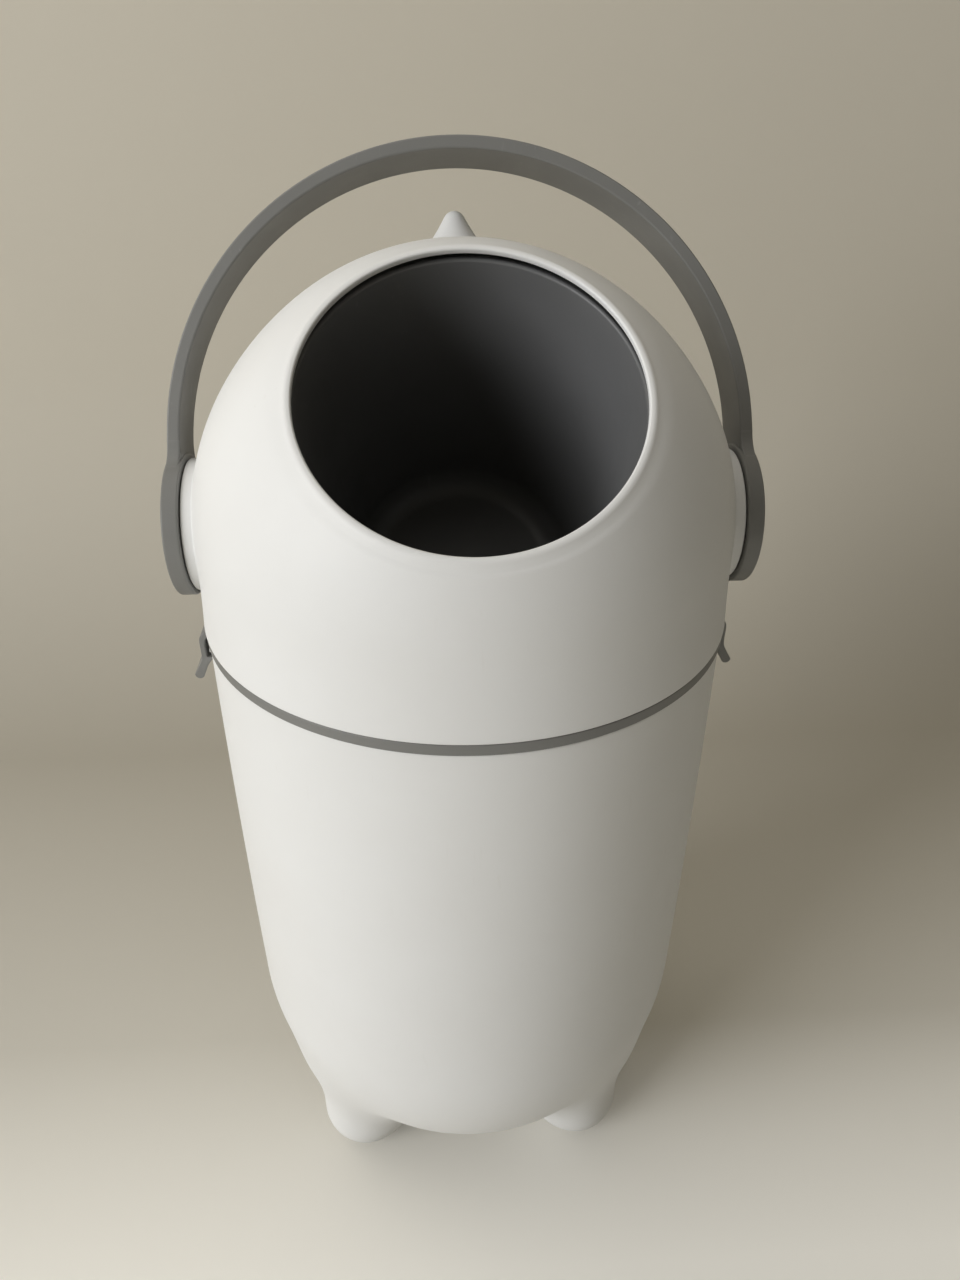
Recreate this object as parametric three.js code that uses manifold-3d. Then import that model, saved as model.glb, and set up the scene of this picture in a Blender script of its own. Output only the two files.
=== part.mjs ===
// Nappy bin with a tipping drum.
// A domed head with a slanted round mouth stands on an egg-shaped body with three stubby feet.
// The mouth opens into a cup that is part of a round drum. The carrying handle is keyed to the
// drum, so turning it forward tips the cup over into the body and closes the mouth.
// Millimetres, +Z up, the mouth faces -Y, the floor is z = 0 under the middle of the bin.

import * as THREE from 'three';
import { mergeVertices } from 'three/addons/utils/BufferGeometryUtils.js';
import Module from 'manifold-3d';

const wasm = await Module();
wasm.setup();

// General allowances
const seatGap = 0.3;          // gap left between pieces that touch
const cutOverrun = 2;         // how far a cutter reaches past what it cuts
const shellWall = 2.6;        // wall of the white mouldings

// Body
const bodyRimRadius = 138;    // the widths of all round pieces follow from this one
const bodyRimHeight = 403.5;
const bodyRimEdge = 0.8;
const bellyTaper = 3;         // how much narrower the round belly is than the rim
const bellyFloorGap = 28;
const legCount = 3;           // two in front and one behind, evenly spaced
const footInset = 50.1;       // from the belly's radius in to a foot's middle
const footRadius = 32;
const footSoleCut = 2.2;      // how much of the foot's round end the sole cuts off
const legTopInset = 52.4;     // the same for the leg's top
const legTopHeight = 85.4;
const legTopRadius = 28;
const blendSink = 0.35;       // how far under the belly's surface the blend runs out
const legBlend = 42;          // width of the soft blend from leg to belly
const footFloor = 5.5;        // thickness of the sole
const padRadius = 9.5;
const padThickness = 2.5;
const padProud = 1;

// Collar between body and head
const collarBandHeight = 6.5;
const collarBandProud = 1;    // how far the band stands out of the body
const collarBandEdge = 0.7;
const collarFlangeRoom = 4.4; // from the drum out to the flange
const collarFlangeThickness = 3;
const collarShoulderWidth = 1.5;
const spigotClearance = 1;
const spigotWall = 2.4;
const spigotDepth = 15.5;
const tongueWall = 2.2;
const tongueHeight = 7.3;
const tongueClearance = 0.6;
const gasketGrooveDepth = 1.2;
const gasketHeight = 3.6;
const gasketDrop = 8;         // from the band's lower face to the gasket's upper face
const collarScrewInset = 5.3; // from the head's inner face in to the screws
const collarScrewCount = 4;
const collarScrewHeadRadius = 2.9;
const collarScrewHeadHeight = 2.2;
const collarScrewShankRadius = 1.2;
const collarScrewLength = 15;
const collarScrewBossRadius = 3.2;
const collarScrewBossHeight = 12;
const spigotNotchRadius = 4.2;
const tongueNotchRadius = 6.5;

// Head
const hubAboveSeam = 43.5;    // the handle's axis above the head's lower edge
const headEdgeProud = 0.5;    // how far the head stands out of the collar band
const headDraft = 1.5;        // how much narrower the dome is than its lower edge
const mouthTilt = 39;         // degrees that the mouth leans forward
const lipProud = 0.7;         // how far the lip stands out of the dome
const mouthRadius = 74.3;
const lipRadius = 2.6;
const lipEnd = 60;            // degrees where the lip's roll runs into the dome
const bossRadius = 34;
const bossSink = 5;           // from the dome's radius in to the boss's inner end
const bossProud = 1.6;        // from the dome's radius out to the boss's face
const hornBack = 25.5;        // degrees behind the crest
const hornHeight = 20;
const hornTipRadius = 5.4;
const hornWaistRadius = 11.2;
const hornWaistHeight = 4.2;
const hornFootRadius = 17;
const hornSink = 1.5;         // how far the horn's foot lies under the dome's surface
const hornTipStart = 28;      // degrees where the tip's round end takes over from the flare

// Drum
const drumGap = 4.4;          // between the drum and the head inside
const drumWall = 2.4;
const drumMouthMargin = 8;    // how much wider the drum's opening is than the mouth
const drumLedgeWidth = 4.1;
const drumLedgeThickness = 2.4;
const cupMouthMargin = 1.2;   // how much wider the cup is than the mouth
const cupTaper = 13.5;        // how much narrower the cup is at its floor
const cupFloorDrop = 66.5;    // from the handle's axis down to the cup's floor
const cupWall = 2.2;
const cupFloorFillet = 9;
const cupRimEdge = 0.9;
const drumBossRadius = 17;
const drumBossDepth = 21;     // from the drum's radius in to the boss's inner end
const sealGap = 0.5;          // between a seal's lip and the drum at rest
const mouthSealMargin = 3.2;  // from the drum's opening out to the seal's middle
const mouthSealWidth = 5;
const mouthSealLipShare = 0.4;  // width of the seal's lip as a share of its foot
const mouthSealFit = 0.8;     // room between the seal and the facets of the dome inside
const drumSealWidth = 2.4;
const drumSealHeight = 3;

// Shaft stubs, bushes and hub fixings
const journalRadius = 11.7;
const bushBore = 12;
const bushRadius = 15;
const bushFlangeRadius = 18.5;
const bushFlangeThickness = 1.6;
const keySide = 15.4;
const keyClearance = 0.3;
const keyHubDepth = 2.2;
const hubScrewRadius = 1.9;
const hubScrewHeadRadius = 5.5;
const hubScrewHeadHeight = 1.3;
const hubScrewLength = 17;
const washerOuterRadius = 25;
const washerThickness = 0.8;  // it lies in a recess of the hub

// Handle
const hubRadius = 36.3;
const hubThickness = 8.2;
const hubEdge = 1;
const hubWeb = 2;
const capRadius = 29.6;
const capThickness = 1.6;
const handleLean = 22.5;      // degrees that the handle leans back at rest
const archInset = 1.5;        // from the hub's inner face out to the strap
const archOver = 2.5;         // how much higher than the dome's radius the arch rises
const archStart = 38;         // height above the axis where the arch begins
const strapThickness = 6.4;
const strapWidth = 31;
const strapEdge = 1.1;
const shoulderHeight = 44;    // height above the axis where the leg starts to widen to the hub
const legEnd = 35.9;          // height above the axis where the leg's inner side ends

// Latches
const latchWidth = 21;
const latchPinInset = 1.7;    // from the band's outer face in to the pin
const latchPinDrop = 10;      // from the seam down to the pin
const latchPinRadius = 1.2;
const latchKnuckleRadius = 2.5;
const latchArmThickness = 2.8;
const latchBulge = 7;         // from the pin out to the middle of the arm
const latchBulgeDrop = 12;    // from the pin down to where the arm stands out most
const latchNoseDrop = 21.4;   // from the pin down to the nose
const latchTabReach = 11.2;   // from the pin out to the tab's end
const latchTabDrop = 35;      // from the pin down to the tab's end
const latchTabRadius = 2.5;
const latchShoulderShare = 0.25;   // of the bulge's drop, where the arm leaves the knuckle
const earThickness = 3;
const earDrop = 6.7;
const catchHeight = 6.5;
const catchReach = 3.4;       // how far the catch stands out of the body
const catchWidth = 18;
const catchLip = 2;

// Facets
const ringSegments = 40;
const bodySegments = 64;
const drumSegments = 32;
const capSegments = 36;
const smallSegments = 16;
const tinySegments = 12;
const weldDistance = 1e-4;
const sliverSize = 0.08;      // facets narrower than this are merged where the legs join the belly
const wallSteps = 3;
const bellySteps = 12;
const legFacet = 12;          // size of the facets on the legs
const legTolerance = 0.2;    // how closely their facets keep to the surface

// Sizes, levels and places that follow from the ones above
const bellyRadius = bodyRimRadius - bellyTaper;
const bellyHeight = bellyFloorGap + bellyRadius;
const bodyBore = bodyRimRadius - shellWall;
const footHeight = padProud + footRadius - footSoleCut;
const seamHeight = bodyRimHeight + collarBandHeight;
const collarBandRadius = bodyRimRadius + collarBandProud;
const spigotOuter = bodyBore - spigotClearance;
const spigotInner = spigotOuter - spigotWall;
const latchPinX = collarBandRadius - latchPinInset;
const latchPinZ = seamHeight - latchPinDrop;
const hubHeight = seamHeight + hubAboveSeam;
const headEdgeRadius = collarBandRadius + headEdgeProud;
const headEdgeInner = headEdgeRadius - shellWall;
const headRadius = headEdgeRadius - headDraft;
const headInner = headRadius - shellWall;
const drumRadius = headInner - drumGap;
const drumInner = drumRadius - drumWall;
const mouthAngle = THREE.MathUtils.degToRad(mouthTilt);
const mouthPlane = onBall(mouthRadius + 2 * lipRadius, headRadius)[1] + lipProud;
const drumMouthRadius = mouthRadius + drumMouthMargin;
const drumLedgeRadius = drumMouthRadius - drumLedgeWidth;
const mouthSealRadius = drumMouthRadius + mouthSealMargin;
const cupMouthRadius = mouthRadius + cupMouthMargin;
const cupFloorRadius = cupMouthRadius - cupTaper;
const cupDepth = mouthPlane + cupFloorDrop;
const flangeTop = bodyRimHeight + seatGap + collarFlangeThickness;
const collarFlangeRadius = onBall(hubHeight - flangeTop, drumRadius)[1] + collarFlangeRoom;
const collarScrewRadius = headEdgeInner - collarScrewInset;
const bossInnerX = headRadius - bossSink;
const bossOuterX = headRadius + bossProud;
const hubInnerX = bossOuterX + 2 * seatGap;
const hubOuterX = hubInnerX + hubThickness;
const drumBossInnerX = drumRadius - drumBossDepth;
const archHalfWidth = hubInnerX + archInset;
const archRise = headRadius + archOver;

// Materials
function plastic(color, roughness) {
  return new THREE.MeshStandardMaterial({ color, roughness, metalness: 0 });
}
const whitePlastic = plastic(0xe9e8e4, 0.45);
const greyPlastic = plastic(0x77787a, 0.5);
const darkPlastic = plastic(0x26272a, 0.55);
const sealRubber = plastic(0x3a3a3c, 0.85);
const padRubber = plastic(0xb9b8b3, 0.9);
const bushPlastic = plastic(0xd9d6cc, 0.4);
const steel = new THREE.MeshStandardMaterial({ color: 0xb8bcc0, roughness: 0.35, metalness: 1 });

// Turns a closed three.js geometry into a solid for joining and cutting.
function toSolid(source) {
  const bare = source.clone();
  bare.deleteAttribute('normal');
  bare.deleteAttribute('uv');
  const merged = mergeVertices(bare, weldDistance);
  const place = merged.getAttribute('position');
  const corners = [];
  for (let i = 0; i < merged.index.count; i += 3) {
    const [a, b, c] = [merged.index.getX(i), merged.index.getX(i + 1), merged.index.getX(i + 2)];
    if (a !== b && b !== c && c !== a) corners.push(a, b, c);
  }
  let volume = 0;
  const [p, q, r] = [new THREE.Vector3(), new THREE.Vector3(), new THREE.Vector3()];
  for (let i = 0; i < corners.length; i += 3) {
    p.fromBufferAttribute(place, corners[i]);
    q.fromBufferAttribute(place, corners[i + 1]);
    r.fromBufferAttribute(place, corners[i + 2]);
    volume += p.dot(q.cross(r));
  }
  if (volume < 0) corners.reverse();
  return new wasm.Manifold(new wasm.Mesh({
    numProp: 3,
    vertProperties: new Float32Array(place.array),
    triVerts: new Uint32Array(corners),
  }));
}

// Turns a solid back into a three.js geometry with flat facets.
function toGeometry(solid) {
  const { vertProperties, triVerts } = solid.getMesh();
  const geometry = new THREE.BufferGeometry();
  geometry.setAttribute('position', new THREE.BufferAttribute(new Float32Array(vertProperties), 3));
  geometry.setIndex(new THREE.BufferAttribute(new Uint32Array(triVerts), 1));
  geometry.computeVertexNormals();
  return geometry;
}

// Revolves a closed outline of [radius, height] points about the Z axis.
function revolve(outline, segments) {
  const points = outline.map(([radius, height]) => new THREE.Vector2(radius, height));
  points.push(points[0].clone());
  return new THREE.LatheGeometry(points, segments).rotateX(Math.PI / 2);
}

function revolved(outline, segments) {
  return toSolid(revolve(outline, segments));
}

// A ring or a disc between two heights, with an optional bore.
function ring(outer, low, high, bore = 0, segments = smallSegments) {
  return revolved([[bore, low], [outer, low], [outer, high], [bore, high]], segments);
}

// The same between two places along X, centred on the handle's axis.
function ringAlongX(outer, low, high, bore = 0, segments = smallSegments) {
  return ring(outer, low, high, bore, segments).rotate([0, 90, 0]).translate([0, 0, hubHeight]);
}

function block(low, high) {
  const size = high.map((value, i) => value - low[i]);
  const middle = high.map((value, i) => (value + low[i]) / 2);
  return toSolid(new THREE.BoxGeometry(...size).translate(...middle));
}

// A solid with one outline in the XZ plane and its width along Y.
function slab(shape, width, bevel = 0) {
  const geometry = new THREE.ExtrudeGeometry(shape, {
    depth: width - 2 * bevel,
    curveSegments: 8,
    bevelEnabled: bevel > 0,
    bevelThickness: bevel,
    bevelSize: bevel,
    bevelOffset: -bevel,
    bevelSegments: 1,
  });
  geometry.translate(0, 0, bevel - width / 2).rotateX(Math.PI / 2);
  return toSolid(geometry);
}

// A point at one distance from an axis, on a ball of the given radius about the hub.
function onBall(fromAxis, radius) {
  return [fromAxis, Math.sqrt(radius * radius - fromAxis * fromAxis)];
}

// Points of an arc, from one angle to another, angles from +radius towards +height.
function arc([x, y], radius, from, to, steps) {
  const points = [];
  for (let i = 0; i <= steps; i += 1) {
    const angle = THREE.MathUtils.degToRad(from + (to - from) * (i / steps));
    points.push([x + radius * Math.cos(angle), y + radius * Math.sin(angle)]);
  }
  return points;
}

// Stands a solid of revolution about Z on the mouth's slanted axis through the hub.
function onMouthAxis(solid) {
  return solid.rotate([mouthTilt, 0, 0]).translate([0, 0, hubHeight]);
}

// Body

const legs = ['front_left', 'front_right', 'back'].map((name, i) => {
  const fromFront = (i - 0.5) * (2 * Math.PI / legCount);
  const way = new THREE.Vector3(Math.sin(fromFront), -Math.cos(fromFront), 0);
  return {
    name,
    foot: way.clone().multiplyScalar(bellyRadius - footInset).setZ(footHeight),
    top: way.clone().multiplyScalar(bellyRadius - legTopInset).setZ(legTopHeight),
  };
});

// Distance from a point to the outside of a tapered leg, negative inside it.
function distanceToLeg(point, leg) {
  const along = leg.top.clone().sub(leg.foot);
  const share = THREE.MathUtils.clamp(point.clone().sub(leg.foot).dot(along) / along.lengthSq(), 0, 1);
  const radius = THREE.MathUtils.lerp(footRadius, legTopRadius, share);
  return leg.foot.clone().addScaledVector(along, share).distanceTo(point) - radius;
}

// A leg with the soft blend to the belly around it. The belly in it lies a little under the real
// one, so that the blend runs out into the belly's own surface.
function legSolid(leg) {
  const bellyCentre = new THREE.Vector3(0, 0, bellyHeight);
  const depthInside = ([x, y, z]) => {
    const point = new THREE.Vector3(x, y, z);
    const toBelly = point.distanceTo(bellyCentre) - bellyRadius + blendSink;
    const toLeg = distanceToLeg(point, leg);
    const overlap = Math.max(legBlend - Math.abs(toBelly - toLeg), 0) / legBlend;
    return overlap * overlap * legBlend / 4 - Math.min(toBelly, toLeg);
  };
  const reach = footRadius + legBlend;
  const bounds = {
    min: [leg.foot.x - reach, leg.foot.y - reach, -cutOverrun],
    max: [leg.foot.x + reach, leg.foot.y + reach, legTopHeight + legTopRadius + legBlend],
  };
  return wasm.Manifold.levelSet(depthInside, bounds, legFacet, 0, legTolerance).simplify(legTolerance);
}

// The hollow inside a leg, down to the thick sole.
function legHollow(leg) {
  const ball = (centre, radius) => wasm.Manifold
    .sphere(radius - shellWall, smallSegments)
    .translate(centre.toArray());
  const hollow = wasm.Manifold.hull([ball(leg.foot, footRadius), ball(leg.top, legTopRadius)]);
  return hollow.trimByPlane([0, 0, 1], padProud + footFloor);
}

// The outside of the body from the rim down to the pole of the belly.
function bodyOutside() {
  const wall = [];
  for (let i = 0; i <= wallSteps; i += 1) {
    const share = i / wallSteps;
    const height = THREE.MathUtils.lerp(bodyRimHeight - bodyRimEdge, bellyHeight, share);
    wall.push([bodyRimRadius - (bodyRimRadius - bellyRadius) * (2 * share - share * share), height]);
  }
  const belly = arc([0, bellyHeight], bellyRadius, 0, -90, bellySteps).slice(1);
  belly[belly.length - 1][0] = 0;
  const rim = [[0, bodyRimHeight], [bodyRimRadius - bodyRimEdge, bodyRimHeight]];
  return revolved([...rim, ...wall, ...belly], bodySegments);
}

function bodyInside() {
  const belly = arc([0, bellyHeight], bellyRadius - shellWall, -90, 0, bellySteps - 2);
  belly[0][0] = 0;
  const middle = THREE.MathUtils.lerp(bellyHeight, bodyRimHeight, 0.5);
  const top = bodyRimHeight + cutOverrun;
  return revolved([...belly, [bodyBore, middle], [bodyBore, top], [0, top]], bodySegments);
}

// The ledge on each side of the body that a latch hooks under.
function latchCatch() {
  const bottom = latchPinZ - latchNoseDrop + seatGap + catchLip;
  const inner = bodyBore + shellWall / 2;
  const outer = bodyRimRadius + catchReach;
  const shape = new THREE.Shape();
  shape.moveTo(inner, bottom);
  shape.lineTo(outer, bottom);
  shape.lineTo(outer, bottom + catchLip);
  shape.lineTo(bodyRimRadius, bottom + catchHeight);
  shape.lineTo(inner, bottom + catchHeight);
  return slab(shape, catchWidth);
}

function bodyShell() {
  let solid = bodyOutside();
  for (const leg of legs) solid = solid.add(legSolid(leg));
  solid = solid.simplify(sliverSize).subtract(bodyInside()).trimByPlane([0, 0, 1], padProud);
  const recess = ring(padRadius + seatGap, 0, padThickness + seatGap);
  for (const leg of legs) {
    solid = solid.subtract(legHollow(leg));
    solid = solid.subtract(recess.translate([leg.foot.x, leg.foot.y, 0]));
  }
  const halfNotch = latchWidth / 2 + 2 * seatGap + earThickness + spigotClearance;
  const notch = block(
    [bodyBore - cutOverrun, -halfNotch, seamHeight - collarBandHeight - earDrop - 2 * seatGap],
    [bodyRimRadius + cutOverrun, halfNotch, bodyRimHeight + cutOverrun],
  );
  for (const turn of [0, 180]) {
    solid = solid.subtract(notch.rotate([0, 0, turn]));
    solid = solid.add(latchCatch().rotate([0, 0, turn]));
  }
  return solid;
}

// Collar

function collarRing() {
  const bottom = bodyRimHeight + seatGap;
  const top = seamHeight - seatGap;
  const tongueOuter = headEdgeInner - tongueClearance;
  const grooveTop = bottom - gasketDrop + seatGap;
  const grooveBottom = bottom - gasketDrop - gasketHeight - seatGap;
  const outline = [
    [collarFlangeRadius, bottom],
    [spigotInner, bottom],
    [spigotInner, bottom - spigotDepth],
    [spigotOuter, bottom - spigotDepth],
    [spigotOuter, grooveBottom],
    [spigotOuter - gasketGrooveDepth, grooveBottom],
    [spigotOuter - gasketGrooveDepth, grooveTop],
    [spigotOuter, grooveTop],
    [spigotOuter, bottom],
    [collarBandRadius - collarBandEdge, bottom],
    [collarBandRadius, bottom + collarBandEdge],
    [collarBandRadius, top - collarBandEdge],
    [collarBandRadius - collarBandEdge, top],
    [tongueOuter, top],
    [tongueOuter, top + tongueHeight],
    [tongueOuter - tongueWall, top + tongueHeight],
    [tongueOuter - tongueWall, top],
    [spigotInner - collarShoulderWidth, top],
    [spigotInner - collarShoulderWidth, flangeTop],
    [collarFlangeRadius, flangeTop],
  ];
  let solid = revolved(outline, ringSegments);
  for (const place of collarScrewPlaces()) {
    const holeRadius = collarScrewShankRadius + 2 * seatGap;
    const hole = ring(holeRadius, bottom - cutOverrun, top + cutOverrun, 0, tinySegments);
    const below = ring(spigotNotchRadius, bottom - spigotDepth - cutOverrun, bottom, 0, tinySegments);
    const above = ring(tongueNotchRadius, top, top + tongueHeight + cutOverrun, 0, tinySegments);
    for (const cut of [hole, below, above]) solid = solid.subtract(cut.translate(place));
  }
  const earStart = latchWidth / 2 + 2 * seatGap;
  for (const side of [-1, 1]) {
    for (const end of [-1, 1]) {
      const [from, to] = [end * earStart, end * (earStart + earThickness)];
      const ear = block(
        [spigotOuter, Math.min(from, to), bottom - earDrop],
        [collarBandRadius - collarBandEdge, Math.max(from, to), bottom + collarBandEdge],
      );
      solid = solid.add(ear.rotate([0, 0, side < 0 ? 180 : 0]));
    }
  }
  const pinHole = toSolid(new THREE.CylinderGeometry(
    latchPinRadius + seatGap, latchPinRadius + seatGap, latchWidth * 2, tinySegments,
  ));
  for (const side of [-1, 1]) solid = solid.subtract(pinHole.translate([side * latchPinX, 0, latchPinZ]));
  return solid;
}

function collarScrewPlaces() {
  const places = [];
  for (let i = 0; i < collarScrewCount; i += 1) {
    const angle = ((i + 0.5) / collarScrewCount) * 2 * Math.PI;
    places.push([collarScrewRadius * Math.cos(angle), collarScrewRadius * Math.sin(angle), 0]);
  }
  return places;
}

function collarScrew(place) {
  const under = bodyRimHeight;
  const head = ring(collarScrewHeadRadius, under - collarScrewHeadHeight, under, 0, tinySegments);
  const shank = ring(collarScrewShankRadius, under - seatGap, under + collarScrewLength, 0, tinySegments);
  return head.add(shank).translate(place);
}

function collarGasket() {
  const top = bodyRimHeight + seatGap - gasketDrop;
  const inner = spigotOuter - gasketGrooveDepth + seatGap;
  return ring(bodyBore - seatGap, top - gasketHeight, top, inner, ringSegments);
}

// Head

// Leans a point of the dome forward: fully at the mouth, and less and less towards the equator.
function leanForward(point) {
  const fromHub = point.clone().setZ(point.z - hubHeight);
  const fromTop = fromHub.angleTo(new THREE.Vector3(0, 0, 1));
  const start = Math.asin((mouthRadius + 2 * lipRadius) / headInner);
  const share = THREE.MathUtils.clamp((Math.PI / 2 - fromTop) / (Math.PI / 2 - start), 0, 1);
  fromHub.applyAxisAngle(new THREE.Vector3(1, 0, 0), mouthAngle * share);
  return fromHub.setZ(fromHub.z + hubHeight);
}

function domeGeometry() {
  const outerSteps = 12;
  const innerSteps = 9;
  const lipSteps = 5;
  const lipCentre = [mouthRadius + lipRadius, mouthPlane - lipRadius + seatGap];
  const startAngle = THREE.MathUtils.radToDeg(Math.acos((lipCentre[0] + lipRadius) / headRadius));
  const underAngle = THREE.MathUtils.radToDeg(Math.acos((lipCentre[0] + lipRadius) / headInner));
  const lip = arc(lipCentre, lipRadius, 270, lipEnd, lipSteps);
  const outer = arc([0, 0], headRadius, startAngle, 0, outerSteps);
  const inner = arc([0, 0], headInner, 0, underAngle, innerSteps);
  const outline = [
    ...lip,
    ...outer,
    [headEdgeRadius, -hubAboveSeam],
    [headEdgeInner, -hubAboveSeam],
    ...inner,
  ].map(([radius, height]) => [radius, height + hubHeight]);
  const geometry = revolve(outline, ringSegments);
  const place = geometry.getAttribute('position');
  const point = new THREE.Vector3();
  for (let i = 0; i < place.count; i += 1) {
    const moved = leanForward(point.fromBufferAttribute(place, i));
    place.setXYZ(i, moved.x, moved.y, moved.z);
  }
  return geometry;
}

function horn() {
  const footDrop = onBall(hornFootRadius, headRadius)[1] - headRadius;
  const tip = arc([0, hornHeight - hornTipRadius], hornTipRadius, hornTipStart, 90, 3);
  const flare = new THREE.QuadraticBezierCurve(
    new THREE.Vector2(hornFootRadius, footDrop),
    new THREE.Vector2(hornWaistRadius, hornWaistHeight),
    new THREE.Vector2(...tip[0]),
  );
  const outline = [[0, footDrop - hornSink], [hornFootRadius, footDrop - hornSink]];
  for (const point of flare.getPoints(5).slice(0, -1)) outline.push([point.x, point.y]);
  outline.push(...tip);
  outline[outline.length - 1][0] = 0;
  const back = THREE.MathUtils.degToRad(hornBack);
  return revolved(outline, smallSegments).rotate([-hornBack, 0, 0]).translate([
    0, headRadius * Math.sin(back), hubHeight + headRadius * Math.cos(back),
  ]);
}

function headShell() {
  let solid = toSolid(domeGeometry()).add(horn());
  for (const side of [-1, 1]) {
    const turn = side < 0 ? 180 : 0;
    const boss = ringAlongX(bossRadius, bossInnerX, bossOuterX, 0, ringSegments);
    const bore = ringAlongX(bushRadius + seatGap, bossInnerX - cutOverrun, bossOuterX + cutOverrun);
    const recess = ringAlongX(
      bushFlangeRadius + seatGap, bossOuterX - bushFlangeThickness - seatGap, bossOuterX + cutOverrun,
    );
    solid = solid.add(boss.rotate([0, 0, turn]));
    solid = solid.subtract(bore.rotate([0, 0, turn])).subtract(recess.rotate([0, 0, turn]));
  }
  const bottom = seamHeight;
  for (const place of collarScrewPlaces()) {
    const outward = THREE.MathUtils.radToDeg(Math.atan2(place[1], place[0]));
    const post = ring(collarScrewBossRadius, bottom, bottom + collarScrewBossHeight, 0, tinySegments);
    const webEnd = headEdgeInner + shellWall / 2 - collarScrewRadius;
    const web = block(
      [0, -collarScrewBossRadius, bottom],
      [webEnd, collarScrewBossRadius, bottom + collarScrewBossHeight],
    ).rotate([0, 0, outward]);
    const pilotEnd = bottom + collarScrewBossHeight - shellWall;
    const pilot = ring(collarScrewShankRadius + seatGap, bottom - cutOverrun, pilotEnd, 0, tinySegments);
    solid = solid.add(post.add(web).translate(place)).subtract(pilot.translate(place));
  }
  return solid;
}

function mouthSeal() {
  const outer = headInner - mouthSealFit;
  const inner = drumRadius + sealGap;
  const halfFoot = mouthSealWidth / 2;
  const halfLip = halfFoot * mouthSealLipShare;
  return onMouthAxis(revolved([
    onBall(mouthSealRadius - halfFoot, outer),
    onBall(mouthSealRadius - halfLip, inner),
    onBall(mouthSealRadius + halfLip, inner),
    onBall(mouthSealRadius + halfFoot, outer),
  ], ringSegments));
}

function drumSeal() {
  const bottom = bodyRimHeight + seatGap;
  const top = bottom + drumSealHeight;
  const lipTop = hubHeight - top;
  const lipRadiusHere = Math.sqrt(drumRadius * drumRadius - lipTop * lipTop) + sealGap;
  const outer = collarFlangeRadius - seatGap;
  return revolved([
    [outer - drumSealWidth, bottom],
    [outer, bottom],
    [outer, top],
    [lipRadiusHere, top],
  ], ringSegments);
}

// Drum

function drumShell() {
  const back = -90;
  const outerFrom = THREE.MathUtils.radToDeg(Math.acos(drumMouthRadius / drumRadius));
  const innerTo = THREE.MathUtils.radToDeg(Math.acos((drumMouthRadius + 2 * drumWall) / drumInner));
  const ledgeTop = drumRadius - drumWall - seatGap;
  const ledgeBottom = ledgeTop - drumLedgeThickness;
  const outer = arc([0, 0], drumRadius, outerFrom, back, 12);
  const inner = arc([0, 0], drumInner, back, innerTo, 8);
  outer[outer.length - 1][0] = 0;
  inner[0][0] = 0;
  const outline = [
    ...outer,
    ...inner,
    onBall(drumMouthRadius + drumWall, ledgeBottom),
    onBall(drumLedgeRadius, ledgeBottom),
    onBall(drumLedgeRadius, ledgeTop),
    onBall(drumMouthRadius, ledgeTop),
  ];
  let solid = onMouthAxis(revolved(outline, drumSegments));
  const bossEnd = Math.sqrt(drumRadius * drumRadius - drumBossRadius * drumBossRadius) - seatGap;
  const half = keySide / 2 + keyClearance;
  for (const turn of [0, 180]) {
    const boss = ringAlongX(drumBossRadius, drumBossInnerX, bossEnd).rotate([0, 0, turn]);
    const socket = block(
      [drumBossInnerX - cutOverrun, -half, hubHeight - half],
      [drumRadius + cutOverrun, half, hubHeight + half],
    ).rotate([0, 0, turn]);
    solid = solid.add(boss).subtract(socket);
  }
  return solid;
}

function drumCup() {
  const floor = -cupFloorDrop;
  const rim = onBall(cupMouthRadius + cupRimEdge, drumRadius);
  const flangeEdge = drumMouthRadius - seatGap;
  const slope = (cupMouthRadius - cupFloorRadius) / cupDepth;
  const fillet = arc([cupFloorRadius - cupFloorFillet, floor + cupFloorFillet], cupFloorFillet, 0, -90, 4);
  const filletOut = arc(
    [cupFloorRadius - cupFloorFillet, floor + cupFloorFillet], cupFloorFillet + cupWall, -90, 0, 4,
  );
  const under = onBall(cupMouthRadius + cupWall, drumRadius - drumWall);
  return onMouthAxis(revolved([
    [0, floor],
    ...fillet.reverse(),
    [cupMouthRadius - cupRimEdge * slope, rim[1] - cupRimEdge],
    rim,
    onBall((rim[0] + flangeEdge) / 2, drumRadius),
    onBall(flangeEdge, drumRadius),
    onBall(flangeEdge, drumRadius - drumWall),
    under,
    ...filletOut.reverse(),
    [0, floor - cupWall],
  ], drumSegments));
}

// Shaft stubs and fixings on the handle's axis, made for the right side

function trunnion() {
  const half = keySide / 2;
  const shoulder = drumRadius + seatGap;
  const outerEnd = hubInnerX + keyHubDepth;
  const journal = ringAlongX(journalRadius, shoulder, bossOuterX);
  const key = block(
    [drumBossInnerX + seatGap, -half, hubHeight - half],
    [outerEnd, half, hubHeight + half],
  );
  const pilotStart = outerEnd - hubScrewLength;
  const pilot = ringAlongX(hubScrewRadius + seatGap, pilotStart, outerEnd + cutOverrun, 0, tinySegments);
  return journal.add(key).subtract(pilot);
}

function pivotBush() {
  const sleeve = ringAlongX(bushRadius, bossInnerX + seatGap, bossOuterX, bushBore);
  const flange = ringAlongX(bushFlangeRadius, bossOuterX - bushFlangeThickness, bossOuterX, bushBore);
  return sleeve.add(flange);
}

function hubWasher() {
  const start = bossOuterX + seatGap;
  return ringAlongX(washerOuterRadius, start, start + washerThickness, bushBore);
}

function hubScrew() {
  const seat = hubInnerX + keyHubDepth + seatGap + hubWeb + seatGap;
  const head = ringAlongX(hubScrewHeadRadius, seat, seat + hubScrewHeadHeight);
  const end = seat - hubScrewLength + keyHubDepth;
  const shank = ringAlongX(hubScrewRadius, end, seat + seatGap, 0, tinySegments);
  return head.add(shank);
}

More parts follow.
